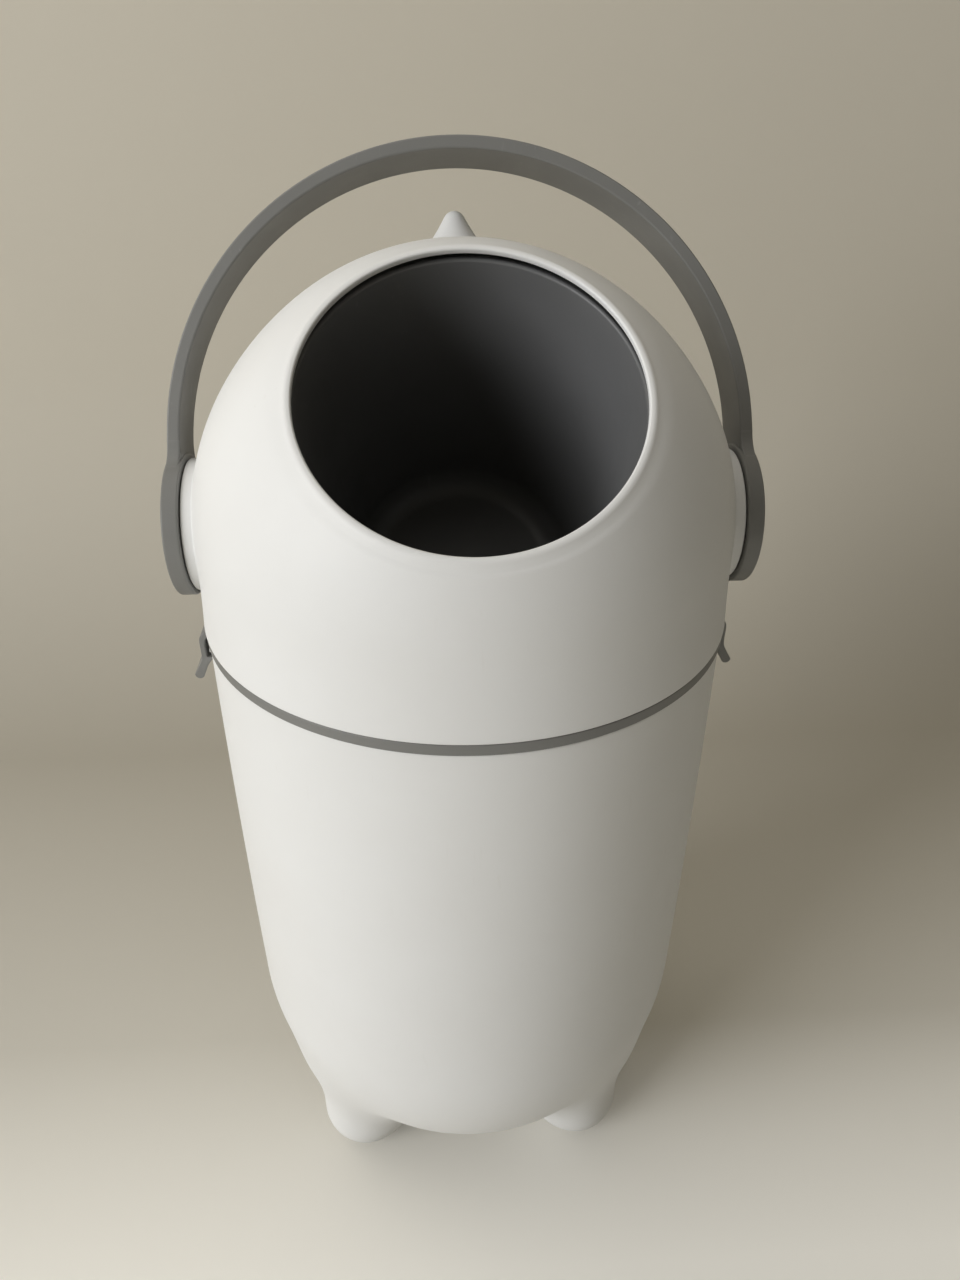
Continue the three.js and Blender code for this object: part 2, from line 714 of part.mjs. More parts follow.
function hubCap() {
  return ringAlongX(capRadius, hubOuterX - capThickness, hubOuterX, 0, capSegments);
}

// Handle

// One half of the bail's front view, as distance from the middle and height above the axis.
function archPoints(widen, steps) {
  const points = [];
  for (let i = 0; i <= steps; i += 1) {
    const angle = (i / steps) * (Math.PI / 2);
    points.push([
      (archHalfWidth + widen) * Math.cos(angle),
      archStart + (archRise + widen) * Math.sin(angle),
    ]);
  }
  return points;
}

function handle() {
  const steps = 12;
  const shape = new THREE.Shape();
  const outer = archPoints(strapThickness, steps);
  const inner = archPoints(0, steps);
  const insideHub = hubInnerX + hubEdge;
  const hubSide = [
    [archHalfWidth, legEnd],
    [insideHub, legEnd],
    [insideHub, hubRadius / 2],
    [hubOuterX - hubEdge, hubRadius / 2],
    [hubOuterX - hubEdge, hubRadius - hubEdge],
    [archHalfWidth + strapThickness, shoulderHeight],
  ];
  const right = [...hubSide, ...outer.filter(([, height]) => height > shoulderHeight)];
  const under = inner.filter(([, height]) => height > legEnd);
  const mirror = ([x, height]) => [-x, height];
  const outline = [
    ...right,
    ...right.slice(0, -1).reverse().map(mirror),
    ...under.map(mirror),
    ...under.slice(0, -1).reverse(),
  ];
  outline.forEach(([x, height], i) => (i ? shape.lineTo(x, height) : shape.moveTo(x, height)));
  let solid = slab(shape, strapWidth, strapEdge);
  solid = solid.rotate([-handleLean, 0, 0]).translate([0, 0, hubHeight]);
  const half = keySide / 2 + keyClearance;
  for (const turn of [0, 180]) {
    const profile = [
      [0, hubInnerX],
      [hubRadius - hubEdge, hubInnerX],
      [hubRadius, hubInnerX + hubEdge],
      [hubRadius, hubOuterX - hubEdge],
      [hubRadius - hubEdge, hubOuterX],
      [0, hubOuterX],
    ];
    const hub = revolved(profile, ringSegments).rotate([0, 90, 0]).translate([0, 0, hubHeight]);
    solid = solid.add(hub.rotate([0, 0, turn]));
    const webStart = hubInnerX + keyHubDepth + seatGap;
    const socket = block(
      [hubInnerX - cutOverrun, -half, hubHeight - half],
      [webStart, half, hubHeight + half],
    );
    const washerSeat = ringAlongX(
      washerOuterRadius + seatGap, hubInnerX - cutOverrun, hubInnerX + washerThickness, 0, ringSegments,
    );
    const hole = ringAlongX(hubScrewRadius + seatGap, webStart - cutOverrun, hubOuterX, 0, tinySegments);
    const counterbore = ringAlongX(hubScrewHeadRadius + seatGap, webStart + hubWeb, hubOuterX);
    const recess = ringAlongX(
      capRadius + seatGap, hubOuterX - capThickness - seatGap, hubOuterX + cutOverrun, 0, capSegments,
    );
    const cuts = [socket, washerSeat, hole, counterbore, recess];
    for (const cut of cuts) solid = solid.subtract(cut.rotate([0, 0, turn]));
  }
  return solid;
}

// Latches, made for the right side

function latch() {
  const thick = latchArmThickness / 2;
  const outerSide = [
    [latchBulge - thick, -latchBulgeDrop * latchShoulderShare],
    [latchBulge + thick, -latchBulgeDrop],
    [latchBulge + thick, -latchNoseDrop],
    [latchTabReach + latchTabRadius, -latchTabDrop + latchTabRadius],
  ];
  const innerSide = [
    [latchTabReach - latchTabRadius, -latchTabDrop],
    [latchBulge - catchReach, -latchNoseDrop - latchArmThickness],
    [latchBulge - catchReach - thick, -latchNoseDrop],
    [latchBulge - thick, -latchNoseDrop + latchArmThickness],
    [latchBulge - thick, -latchBulgeDrop],
    [0, -latchKnuckleRadius],
  ];
  const shape = new THREE.Shape();
  shape.moveTo(0, latchKnuckleRadius);
  shape.splineThru(outerSide.map(([x, z]) => new THREE.Vector2(x, z)));
  shape.absarc(latchTabReach, -latchTabDrop + latchTabRadius, latchTabRadius, 0, -Math.PI / 2, true);
  for (const [x, z] of innerSide) shape.lineTo(x, z);
  let solid = slab(shape, latchWidth);
  const cylinder = (radius, length) => toSolid(
    new THREE.CylinderGeometry(radius, radius, length, smallSegments),
  );
  solid = solid.add(cylinder(latchKnuckleRadius, latchWidth));
  solid = solid.subtract(cylinder(latchPinRadius + seatGap, latchWidth + cutOverrun));
  return solid.translate([latchPinX, 0, latchPinZ]);
}

function latchPin() {
  const length = latchWidth + 2 * (2 * seatGap + earThickness);
  const pin = new THREE.CylinderGeometry(latchPinRadius, latchPinRadius, length, tinySegments);
  return toSolid(pin).translate([latchPinX, 0, latchPinZ]);
}

function footPad(leg) {
  return ring(padRadius, 0, padThickness).translate([leg.foot.x, leg.foot.y, 0]);
}

// Assembly

const bin = new THREE.Group();

function add(name, solid, material, parent) {
  const mesh = new THREE.Mesh(toGeometry(solid), material);
  mesh.name = name;
  parent.add(mesh);
}

function addPair(name, make, material, parent) {
  add(`${name}_right`, make(), material, parent);
  add(`${name}_left`, make().rotate([0, 0, 180]), material, parent);
}

const base = new THREE.Group();
add('body_shell', bodyShell(), whitePlastic, base);
for (const leg of legs) add(`foot_pad_${leg.name}`, footPad(leg), padRubber, base);

const head = new THREE.Group();
add('head_shell', headShell(), whitePlastic, head);
add('collar_ring', collarRing(), greyPlastic, head);
add('collar_gasket', collarGasket(), sealRubber, head);
add('drum_seal', drumSeal(), sealRubber, head);
add('mouth_seal', mouthSeal(), sealRubber, head);
collarScrewPlaces().forEach((place, i) => add(`collar_screw_${i + 1}`, collarScrew(place), steel, head));
addPair('pivot_bush', pivotBush, bushPlastic, head);
addPair('latch_pin', latchPin, steel, head);
addPair('latch', latch, greyPlastic, head);

const drum = new THREE.Group();
add('drum_shell', drumShell(), darkPlastic, drum);
add('drum_cup', drumCup(), darkPlastic, drum);
addPair('trunnion', trunnion, darkPlastic, drum);
add('handle', handle(), greyPlastic, drum);
addPair('hub_washer', hubWasher, bushPlastic, drum);
addPair('hub_screw', hubScrew, steel, drum);
addPair('hub_cap', hubCap, greyPlastic, drum);

bin.add(base, head, drum);

export default bin;
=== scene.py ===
"""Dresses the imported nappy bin: fine moulded forms, plastic and rubber finishes, studio and camera.

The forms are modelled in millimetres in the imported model's frame, and go to metres when their mesh
is made. The mouth faces -Y, the handle's axis runs along X, and the floor is z = 0.
"""

from __future__ import annotations

import logging
import math
from collections.abc import Callable, Iterable, Sequence
from dataclasses import dataclass, field
from enum import Enum

import bmesh
import bpy
import numpy as np
from mathutils import Matrix, Vector

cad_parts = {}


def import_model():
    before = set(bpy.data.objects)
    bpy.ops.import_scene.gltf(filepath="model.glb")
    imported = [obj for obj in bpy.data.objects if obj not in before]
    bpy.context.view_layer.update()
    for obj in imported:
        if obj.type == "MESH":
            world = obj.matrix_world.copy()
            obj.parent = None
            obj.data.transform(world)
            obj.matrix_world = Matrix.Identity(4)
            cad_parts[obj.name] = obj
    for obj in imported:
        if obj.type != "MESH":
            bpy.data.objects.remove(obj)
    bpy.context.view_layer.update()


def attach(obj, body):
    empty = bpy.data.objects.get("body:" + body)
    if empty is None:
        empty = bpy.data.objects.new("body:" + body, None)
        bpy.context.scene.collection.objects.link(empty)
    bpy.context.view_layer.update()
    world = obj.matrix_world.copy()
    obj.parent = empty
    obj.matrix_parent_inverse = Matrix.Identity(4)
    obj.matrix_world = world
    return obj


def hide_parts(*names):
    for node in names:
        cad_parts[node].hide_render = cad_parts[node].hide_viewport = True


LOG = logging.getLogger("nappy_bin")
MM = 0.001
MERGE_DISTANCE = 1e-4
ON_PLANE = 0.01
BEVEL_SEGMENTS = 3
SHARP_ANGLE = 38.0
FLAT_SIDES_WEIGHT = 100

Outline = list[tuple[float, float]]
Colour = tuple[float, float, float]


class Side(Enum):
    """The two ends of the handle's axis."""

    RIGHT = "right"
    LEFT = "left"

    @property
    def sign(self) -> int:
        """Which way along X this side lies."""
        return 1 if self is Side.RIGHT else -1

    @property
    def turn(self) -> Matrix:
        """The half turn about Z that takes a right-hand form to this side."""
        return Matrix.Rotation(0.0 if self is Side.RIGHT else math.pi, 4, "Z")


class Body(Enum):
    """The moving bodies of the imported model."""

    BASE = "base"
    HEAD = "head"
    DRUM = "drum"
    LATCH_LEFT = "latch_left"
    LATCH_RIGHT = "latch_right"


class Shading(Enum):
    """How a piece's normals are made."""

    ROUND = "round"
    FLAT_SIDED = "flat_sided"


# Finishes


class NodeSheet:
    """Adds nodes to one material and joins them."""

    def __init__(self, name: str) -> None:
        """Starts an empty node tree.

        Args:
            name: The material's name.
        """
        self.material = bpy.data.materials.new(name)
        self.material.use_nodes = True
        self.tree = self.material.node_tree
        self.tree.nodes.clear()

    def add(self, kind: str, **values: object) -> bpy.types.Node:
        """Adds a node and sets its properties.

        Args:
            kind: The node's type.
            **values: Properties of the node to set.

        Returns:
            The new node.
        """
        node = self.tree.nodes.new(kind)
        for name, value in values.items():
            setattr(node, name, value)
        return node

    def link(self, start: bpy.types.NodeSocket, end: bpy.types.NodeSocket) -> None:
        """Joins an output to an input."""
        self.tree.links.new(start, end)

    def noise(self, source: bpy.types.NodeSocket, scale: float, detail: float) -> bpy.types.NodeSocket:
        """Adds a noise pattern.

        Args:
            source: The coordinates that it reads.
            scale: How many cells it has to the metre.
            detail: How many finer layers it has.

        Returns:
            Its value output.
        """
        node = self.add("ShaderNodeTexNoise")
        node.inputs["Scale"].default_value = scale
        node.inputs["Detail"].default_value = detail
        self.link(source, node.inputs["Vector"])
        return node.outputs["Fac"]

    def ranged(
        self, source: bpy.types.NodeSocket, taken: tuple[float, float], given: tuple[float, float]
    ) -> bpy.types.NodeSocket:
        """Maps one range of a value to another and clamps it.

        Args:
            source: The value.
            taken: The range that is read.
            given: The range that comes out.

        Returns:
            The mapped value.
        """
        node = self.add("ShaderNodeMapRange", clamp=True)
        for socket, value in zip(("From Min", "From Max", "To Min", "To Max"), (*taken, *given)):
            node.inputs[socket].default_value = value
        self.link(source, node.inputs["Value"])
        return node.outputs["Result"]

    def maths(self, operation: str, *sources: bpy.types.NodeSocket | float) -> bpy.types.NodeSocket:
        """Adds a sum of one or two values.

        Args:
            operation: The node's operation.
            *sources: Sockets or plain numbers.

        Returns:
            The result.
        """
        node = self.add("ShaderNodeMath", operation=operation)
        for socket, source in zip(node.inputs, sources):
            if isinstance(source, (int, float)):
                socket.default_value = source
            else:
                self.link(source, socket)
        return node.outputs["Value"]

    def mixed(
        self, share: bpy.types.NodeSocket, low: bpy.types.NodeSocket | Colour, high: Colour
    ) -> bpy.types.NodeSocket:
        """Mixes two colours.

        Args:
            share: How much of the second colour shows.
            low: The first colour, or the socket that it comes from.
            high: The second colour.

        Returns:
            The mixed colour.
        """
        node = self.add("ShaderNodeMix", data_type="RGBA")
        self.link(share, node.inputs["Factor"])
        first, second = (socket for socket in node.inputs if socket.type == "RGBA")
        if isinstance(low, tuple):
            first.default_value = (*low, 1.0)
        else:
            self.link(low, first)
        second.default_value = (*high, 1.0)
        return next(socket for socket in node.outputs if socket.type == "RGBA")

    def bump(
        self,
        height: bpy.types.NodeSocket,
        strength: float,
        distance: float,
        under: bpy.types.NodeSocket | None = None,
    ) -> bpy.types.NodeSocket:
        """Adds relief to a surface.

        Args:
            height: The pattern that is raised.
            strength: How much of it shows.
            distance: Its height in metres.
            under: The bumped normal that it lies on, if any.

        Returns:
            The bumped normal.
        """
        node = self.add("ShaderNodeBump")
        node.inputs["Strength"].default_value = strength
        node.inputs["Distance"].default_value = distance
        self.link(height, node.inputs["Height"])
        if under is not None:
            self.link(under, node.inputs["Normal"])
        return node.outputs["Normal"]

    def shown(self, shader: bpy.types.Node) -> bpy.types.Material:
        """Joins a shader to the material's surface.

        Args:
            shader: The finished shader.

        Returns:
            The material.
        """
        output = self.add("ShaderNodeOutputMaterial")
        self.link(shader.outputs["BSDF"], output.inputs["Surface"])
        return self.material


@dataclass(frozen=True)
class Finish:
    """A moulded or turned surface: its colour, its fine grain and its marks of use."""

    slot: str
    colour: Colour
    clouded: Colour
    rubbed: Colour
    roughness: float
    roughness_spread: float = 0.06
    grain_scale: float = 1500.0
    grain_depth: float = 0.00003
    grain_strength: float = 0.35
    wave_scale: float = 22.0
    wave_depth: float = 0.00012
    wave_strength: float = 0.25
    cloud_scale: float = 14.0
    handled_scale: float = 38.0
    scratch_scale: float = 420.0
    scratch_stretch: float = 0.09
    scratch_turn: tuple[float, float, float] = (0.35, 0.2, 0.0)
    rub_scale: float = 26.0
    scuff_share: float = 0.0
    scuff_roughness: float = 0.12
    edge_wear: float = 0.0
    metallic: float = 0.0
    specular: float = 0.5

    def build(self) -> bpy.types.Material:
        """Makes the material.

        Returns:
            The material, all on Object coordinates.
        """
        sheet = NodeSheet(self.slot)
        place = sheet.add("ShaderNodeTexCoord").outputs["Object"]
        clouds = sheet.noise(place, self.cloud_scale, 4.0)
        colour = sheet.mixed(sheet.ranged(clouds, (0.35, 0.7), (0.0, 1.0)), self.colour, self.clouded)
        handled = sheet.noise(place, self.handled_scale, 5.0)
        low, high = self.roughness - self.roughness_spread, self.roughness + self.roughness_spread
        roughness = sheet.ranged(handled, (0.3, 0.7), (low, high))
        if self.scuff_share:
            scuffs = self.scuffs(sheet, place)
            colour = sheet.mixed(scuffs, colour, self.rubbed)
            rougher = sheet.maths("MULTIPLY", scuffs, self.scuff_roughness)
            roughness = sheet.maths("ADD", roughness, rougher)
        if self.edge_wear:
            colour = sheet.mixed(self.worn_edges(sheet, handled), colour, self.rubbed)
        shader = sheet.add("ShaderNodeBsdfPrincipled")
        shader.inputs["Metallic"].default_value = self.metallic
        shader.inputs["Specular IOR Level"].default_value = self.specular
        sheet.link(colour, shader.inputs["Base Color"])
        sheet.link(roughness, shader.inputs["Roughness"])
        sheet.link(self.relief(sheet, place), shader.inputs["Normal"])
        return sheet.shown(shader)

    def relief(self, sheet: NodeSheet, place: bpy.types.NodeSocket) -> bpy.types.NodeSocket:
        """Adds the tool's spark grain over the slow waves of a cooled moulding.

        Args:
            sheet: The material's nodes.
            place: Object coordinates.

        Returns:
            The bumped normal.
        """
        slow = sheet.noise(place, self.wave_scale, 1.0)
        waves = sheet.bump(slow, self.wave_strength, self.wave_depth)
        fine = sheet.noise(place, self.grain_scale, 2.0)
        return sheet.bump(fine, self.grain_strength, self.grain_depth, waves)

    def scuffs(self, sheet: NodeSheet, place: bpy.types.NodeSocket) -> bpy.types.NodeSocket:
        """Adds short fine scratches, only in the places that hands and walls rub.

        Args:
            sheet: The material's nodes.
            place: Object coordinates.

        Returns:
            How much a point is scuffed.
        """
        stretched = sheet.add("ShaderNodeMapping")
        stretched.inputs["Scale"].default_value = (1.0, 1.0, self.scratch_stretch)
        stretched.inputs["Rotation"].default_value = self.scratch_turn
        sheet.link(place, stretched.inputs["Vector"])
        scratches = sheet.noise(stretched.outputs["Vector"], self.scratch_scale, 2.0)
        rubbed = sheet.noise(place, self.rub_scale, 2.0)
        return sheet.maths(
            "MULTIPLY",
            sheet.ranged(scratches, (0.66, 0.72), (0.0, 1.0)),
            sheet.ranged(rubbed, (0.52, 0.66), (0.0, self.scuff_share)),
        )

    def worn_edges(self, sheet: NodeSheet, handled: bpy.types.NodeSocket) -> bpy.types.NodeSocket:
        """Adds the paler line where an outer edge is worn.

        Args:
            sheet: The material's nodes.
            handled: The pattern that breaks the line up.

        Returns:
            How much a point is worn.
        """
        outward = sheet.add("ShaderNodeNewGeometry").outputs["Pointiness"]
        edge = sheet.ranged(outward, (0.53, 0.62), (0.0, self.edge_wear))
        return sheet.maths("MULTIPLY", edge, sheet.ranged(handled, (0.35, 0.6), (0.25, 1.0)))


FINISHES = {
    finish.slot: finish
    for finish in (
        Finish(
            slot="white_plastic",
            colour=(0.79, 0.792, 0.788),
            clouded=(0.774, 0.773, 0.765),
            rubbed=(0.66, 0.645, 0.61),
            roughness=0.5,
            roughness_spread=0.04,
            scuff_share=0.12,
            specular=0.38,
        ),
        Finish(
            slot="grey_plastic",
            colour=(0.196, 0.195, 0.187),
            clouded=(0.182, 0.181, 0.172),
            rubbed=(0.31, 0.31, 0.3),
            roughness=0.48,
            grain_depth=0.00004,
            scuff_share=0.3,
            edge_wear=0.3,
        ),
        Finish(
            slot="dark_plastic",
            colour=(0.14, 0.141, 0.143),
            clouded=(0.129, 0.13, 0.131),
            rubbed=(0.2, 0.2, 0.2),
            roughness=0.42,
            scuff_share=0.3,
            edge_wear=0.2,
        ),
        Finish(
            slot="seal_rubber",
            colour=(0.035, 0.035, 0.036),
            clouded=(0.045, 0.044, 0.043),
            rubbed=(0.09, 0.088, 0.085),
            roughness=0.8,
            grain_scale=2200.0,
            specular=0.35,
        ),
        Finish(
            slot="pad_rubber",
            colour=(0.46, 0.455, 0.43),
            clouded=(0.41, 0.4, 0.375),
            rubbed=(0.3, 0.29, 0.27),
            roughness=0.85,
            grain_scale=2200.0,
            scuff_share=0.4,
            specular=0.3,
        ),
        Finish(
            slot="bush_plastic",
            colour=(0.62, 0.6, 0.54),
            clouded=(0.58, 0.56, 0.5),
            rubbed=(0.4, 0.38, 0.34),
            roughness=0.36,
            scuff_share=0.3,
        ),
        Finish(
            slot="steel",
            colour=(0.5, 0.51, 0.52),
            clouded=(0.44, 0.45, 0.46),
            rubbed=(0.7, 0.7, 0.7),
            roughness=0.3,
            grain_scale=3000.0,
            grain_depth=0.00001,
            scuff_share=0.5,
            metallic=1.0,
        ),
    )
}


# Outlines


def arc(centre: tuple[float, float], radius: float, start: float, end: float, steps: int) -> Outline:
    """Gives points on an arc.

    Args:
        centre: The arc's centre.
        radius: Its radius.
        start: The first point's angle in degrees, from the first axis towards the second.
        end: The last point's angle.
        steps: How many facets the arc has.

    Returns:
        The points in order.
    """
    angles = [math.radians(start + (end - start) * i / steps) for i in range(steps + 1)]
    return [(centre[0] + radius * math.cos(a), centre[1] + radius * math.sin(a)) for a in angles]


def between(start: Sequence[float], end: Sequence[float], steps: int) -> Outline:
    """Divides the straight way between two points evenly.

    Args:
        start: Where it starts.
        end: Where it ends.
        steps: How many parts it has.

    Returns:
        The points in order, without the two ends.
    """
    across, up = end[0] - start[0], end[1] - start[1]
    return [(start[0] + across * i / steps, start[1] + up * i / steps) for i in range(1, steps)]


def rounded(corners: Sequence[tuple[float, ...]], closed: bool = True, steps: int = 4) -> Outline:
    """Rounds the corners of an outline.

    Args:
        corners: Each corner as (across, up) or (across, up, radius of its rounding).
        closed: Whether the last corner joins the first.
        steps: Facets on each rounded corner.

    Returns:
        The outline's points in order.
    """
    outline: Outline = []
    for i, corner in enumerate(corners):
        here = Vector(corner[:2])
        radius = corner[2] if len(corner) > 2 else 0.0
        if radius <= 0 or (not closed and i in (0, len(corners) - 1)):
            outline.append((here.x, here.y))
            continue
        back = (Vector(corners[i - 1][:2]) - here).normalized()
        ahead = (Vector(corners[(i + 1) % len(corners)][:2]) - here).normalized()
        half = back.angle(ahead) / 2
        centre = here + (back + ahead).normalized() * (radius / math.sin(half))
        start = here + back * (radius / math.tan(half)) - centre
        end = here + ahead * (radius / math.tan(half)) - centre
        for step in range(steps + 1):
            way = start.lerp(end, step / steps).normalized()
            outline.append((centre.x + way.x * radius, centre.y + way.y * radius))
    return outline


def eased(value: float, low: float, high: float) -> float:
    """Gives 0 below a range, 1 above it, and a soft step between."""
    share = min(max((value - low) / (high - low), 0.0), 1.0)
    return share * share * (3 - 2 * share)


def on_ball(from_axis: float, radius: float) -> tuple[float, float]:
    """Gives a point on a ball about the hub, as distance from an axis and height along it."""
    return from_axis, math.sqrt(radius * radius - from_axis * from_axis)


def smooth_path(points: Sequence[tuple[float, float]], steps: int) -> Outline:
    """Runs a smooth curve through points.

    Args:
        points: The points that the curve passes.
        steps: Facets between two of them.

    Returns:
        The curve's points in order.
    """
    ends = [Vector(p) for p in points]
    ends = [2 * ends[0] - ends[1], *ends, 2 * ends[-1] - ends[-2]]
    curve: Outline = []
    for before, start, end, after in zip(ends, ends[1:], ends[2:], ends[3:]):
        for step in range(steps):
            t = step / steps
            pull = (end - before) * t + (2 * before - 5 * start + 4 * end - after) * t * t
            pull += (3 * start - before - 3 * end + after) * t * t * t
            curve.append(tuple(start + pull / 2))
    curve.append(tuple(ends[-2]))
    return curve


# Forms


def bevelled(
    form: bmesh.types.BMesh, edges: Iterable[bmesh.types.BMEdge], radius: float
) -> bmesh.types.BMesh:
    """Rounds some edges of a form.

    Args:
        form: The form.
        edges: The edges to round.
        radius: The radius of their rounding.

    Returns:
        The same form.
    """
    bmesh.ops.bevel(
        form,
        geom=list(edges),
        offset=radius,
        segments=BEVEL_SEGMENTS,
        profile=0.5,
        affect="EDGES",
        clamp_overlap=True,
        material=-1,
    )
    return form


def new_verts(result: dict[str, list]) -> list[bmesh.types.BMVert]:
    """Gives the vertices that an extrusion made."""
    return [part for part in result["geom"] if isinstance(part, bmesh.types.BMVert)]


def spun(outline: Sequence[tuple[float, float]], steps: int, closed: bool = True) -> bmesh.types.BMesh:
    """Spins an outline about the Z axis.

    Args:
        outline: Points as (radius, height).
        steps: Facets round the axis.
        closed: Whether the last point joins the first.

    Returns:
        The form.
    """
    form = bmesh.new()
    verts = [form.verts.new((radius, 0.0, height)) for radius, height in outline]
    pairs = list(zip(verts, verts[1:]))
    if closed:
        pairs.append((verts[-1], verts[0]))
    edges = [form.edges.new(pair) for pair in pairs]
    bmesh.ops.spin(
        form,
        geom=[*verts, *edges],
        cent=(0, 0, 0),
        axis=(0, 0, 1),
        angle=2 * math.pi,
        steps=steps,
        use_merge=True,
    )
    bmesh.ops.remove_doubles(form, verts=form.verts, dist=MERGE_DISTANCE)
    bmesh.ops.recalc_face_normals(form, faces=form.faces)
    return form


def rod(
    radius: float, low: float, high: float, edges: tuple[float, float], steps: int, crown: float = 0.0
) -> bmesh.types.BMesh:
    """Makes a round rod or disc about the Z axis.

    Args:
        radius: Its radius.
        low: Height of its lower face.
        high: Height of its upper face in the middle.
        edges: The radii of its lower and upper edges.
        steps: Facets round the axis.
        crown: How much lower its upper face is at the edge.

    Returns:
        The form.
    """
    outline = [(0, low), (radius, low, edges[0]), (radius, high - crown, edges[1]), (0, high)]
    return spun(rounded(outline, closed=False), steps, closed=False)


def flat_ring(
    bore: float, radius: float, low: float, high: float, edges: tuple[float, float], steps: int
) -> bmesh.types.BMesh:
    """Makes a flat ring about the Z axis.

    Args:
        bore: Its inner radius.
        radius: Its outer radius.
        low: Height of its lower face.
        high: Height of its upper face.
        edges: The radii of its inner and outer edges.
        steps: Facets round the axis.

    Returns:
        The form.
    """
    near, far = edges
    outline = [(bore, low, near), (radius, low, far), (radius, high, far), (bore, high, near)]
    return spun(rounded(outline), steps)


def drawn_out(outline: Sequence[tuple[float, float]], width: float, edge: float) -> bmesh.types.BMesh:
    """Draws an outline in the XZ plane out along Y, and rounds the edges of its two sides.

    Args:
        outline: The closed outline.
        width: Its full width along Y.
        edge: The radius of the rounded edges.

    Returns:
        The form, centred on y = 0.
    """
    form = bmesh.new()
    face = form.faces.new([form.verts.new((x, -width / 2, z)) for x, z in outline])
    grown = bmesh.ops.extrude_face_region(form, geom=[face], use_keep_orig=True)
    bmesh.ops.translate(form, verts=new_verts(grown), vec=(0, width, 0))
    bmesh.ops.recalc_face_normals(form, faces=form.faces)
    sides = [f for f in form.faces if abs(f.normal.y) > 0.99]
    return bevelled(form, {e for f in sides for e in f.edges}, edge)


def block(low: Sequence[float], high: Sequence[float], edge: float) -> bmesh.types.BMesh:
    """Makes a block with rounded edges between two corners.

    Args:
        low: The lowest corner.
        high: The highest corner.
        edge: The radius of its edges.

    Returns:
        The form.
    """
    form = bmesh.new()
    bmesh.ops.create_cube(form, size=1.0)
    bmesh.ops.scale(form, vec=[b - a for a, b in zip(low, high)], verts=form.verts)
    bmesh.ops.translate(form, vec=[(a + b) / 2 for a, b in zip(low, high)], verts=form.verts)
    return bevelled(form, form.edges, edge)


def moved(form: bmesh.types.BMesh, matrix: Matrix) -> bmesh.types.BMesh:
    """Moves a whole form by a matrix and gives it back."""
    bmesh.ops.transform(form, matrix=matrix, verts=form.verts)
    return form


def joined(first: bmesh.types.BMesh, *others: bmesh.types.BMesh) -> bmesh.types.BMesh:
    """Adds other forms to the first one, each as a body of its own in it.

    Args:
        first: The form that takes the others in.
        *others: The forms that go in, which are freed.

    Returns:
        The first form.
    """
    for other in others:
        carrier = bpy.data.meshes.new("carrier")
        other.to_mesh(carrier)
        other.free()
        first.from_mesh(carrier)
        bpy.data.meshes.remove(carrier)
    return first


def faces_where(form: bmesh.types.BMesh, test: Callable[[Vector], bool]) -> list[bmesh.types.BMFace]:
    """Gives the faces whose middle passes a test."""
    return [f for f in form.faces if test(f.calc_center_median())]


@dataclass(frozen=True)
class Plane:
    """A plane that forms are cut along."""

    point: Vector
    normal: Vector

    def holds(self, vert: bmesh.types.BMVert) -> bool:
        """Whether a vertex lies on the plane."""
        return abs((vert.co - self.point).dot(self.normal)) < ON_PLANE

    def cut(
        self, form: bmesh.types.BMesh, faces: Sequence[bmesh.types.BMFace], clear: bool = False
    ) -> None:
        """Cuts new edges into some faces along the plane.

        Args:
            form: The form that is cut.
            faces: The faces that the plane may cut.
            clear: Whether what lies under the plane goes.
        """
        edges = {e for f in faces for e in f.edges}
        verts = {v for f in faces for v in f.verts}
        bmesh.ops.bisect_plane(
            form,
            geom=[*verts, *edges, *faces],
            dist=MERGE_DISTANCE,
            plane_co=self.point,
            plane_no=self.normal,
            clear_inner=clear,
        )


# Levels that the sub-assemblies share


@dataclass(frozen=True)
class Levels:
    """Heights and radii that more than one sub-assembly is built to."""

    seam: float = 410.0
    rim: float = 403.5
    hub: float = 453.5
    body_radius: float = 138.0
    body_wall: float = 2.6
    catch_reach: float = 3.4
    head_radius: float = 138.0
    head_inner: float = 135.4
    drum_radius: float = 131.0
    mouth_radius: float = 74.9
    mouth_tilt: float = 38.95
    mouth_plane: float = 113.5
    boss_face: float = 139.6
    gap: float = 0.3

    def on_mouth_axis(self, form: bmesh.types.BMesh) -> bmesh.types.BMesh:
        """Stands a form spun about Z on the mouth's slanted axis through the hub."""
        lean = Matrix.Rotation(math.radians(self.mouth_tilt), 4, "X")
        return moved(form, Matrix.Translation((0, 0, self.hub)) @ lean)

    def on_hub_axis(self, form: bmesh.types.BMesh, side: Side) -> bmesh.types.BMesh:
        """Lays a form spun about Z along the handle's axis, its heights outwards on one side."""
        lay = Matrix.Rotation(math.radians(90), 4, "Y")
        return moved(form, side.turn @ Matrix.Translation((0, 0, self.hub)) @ lay)


LEVELS = Levels()


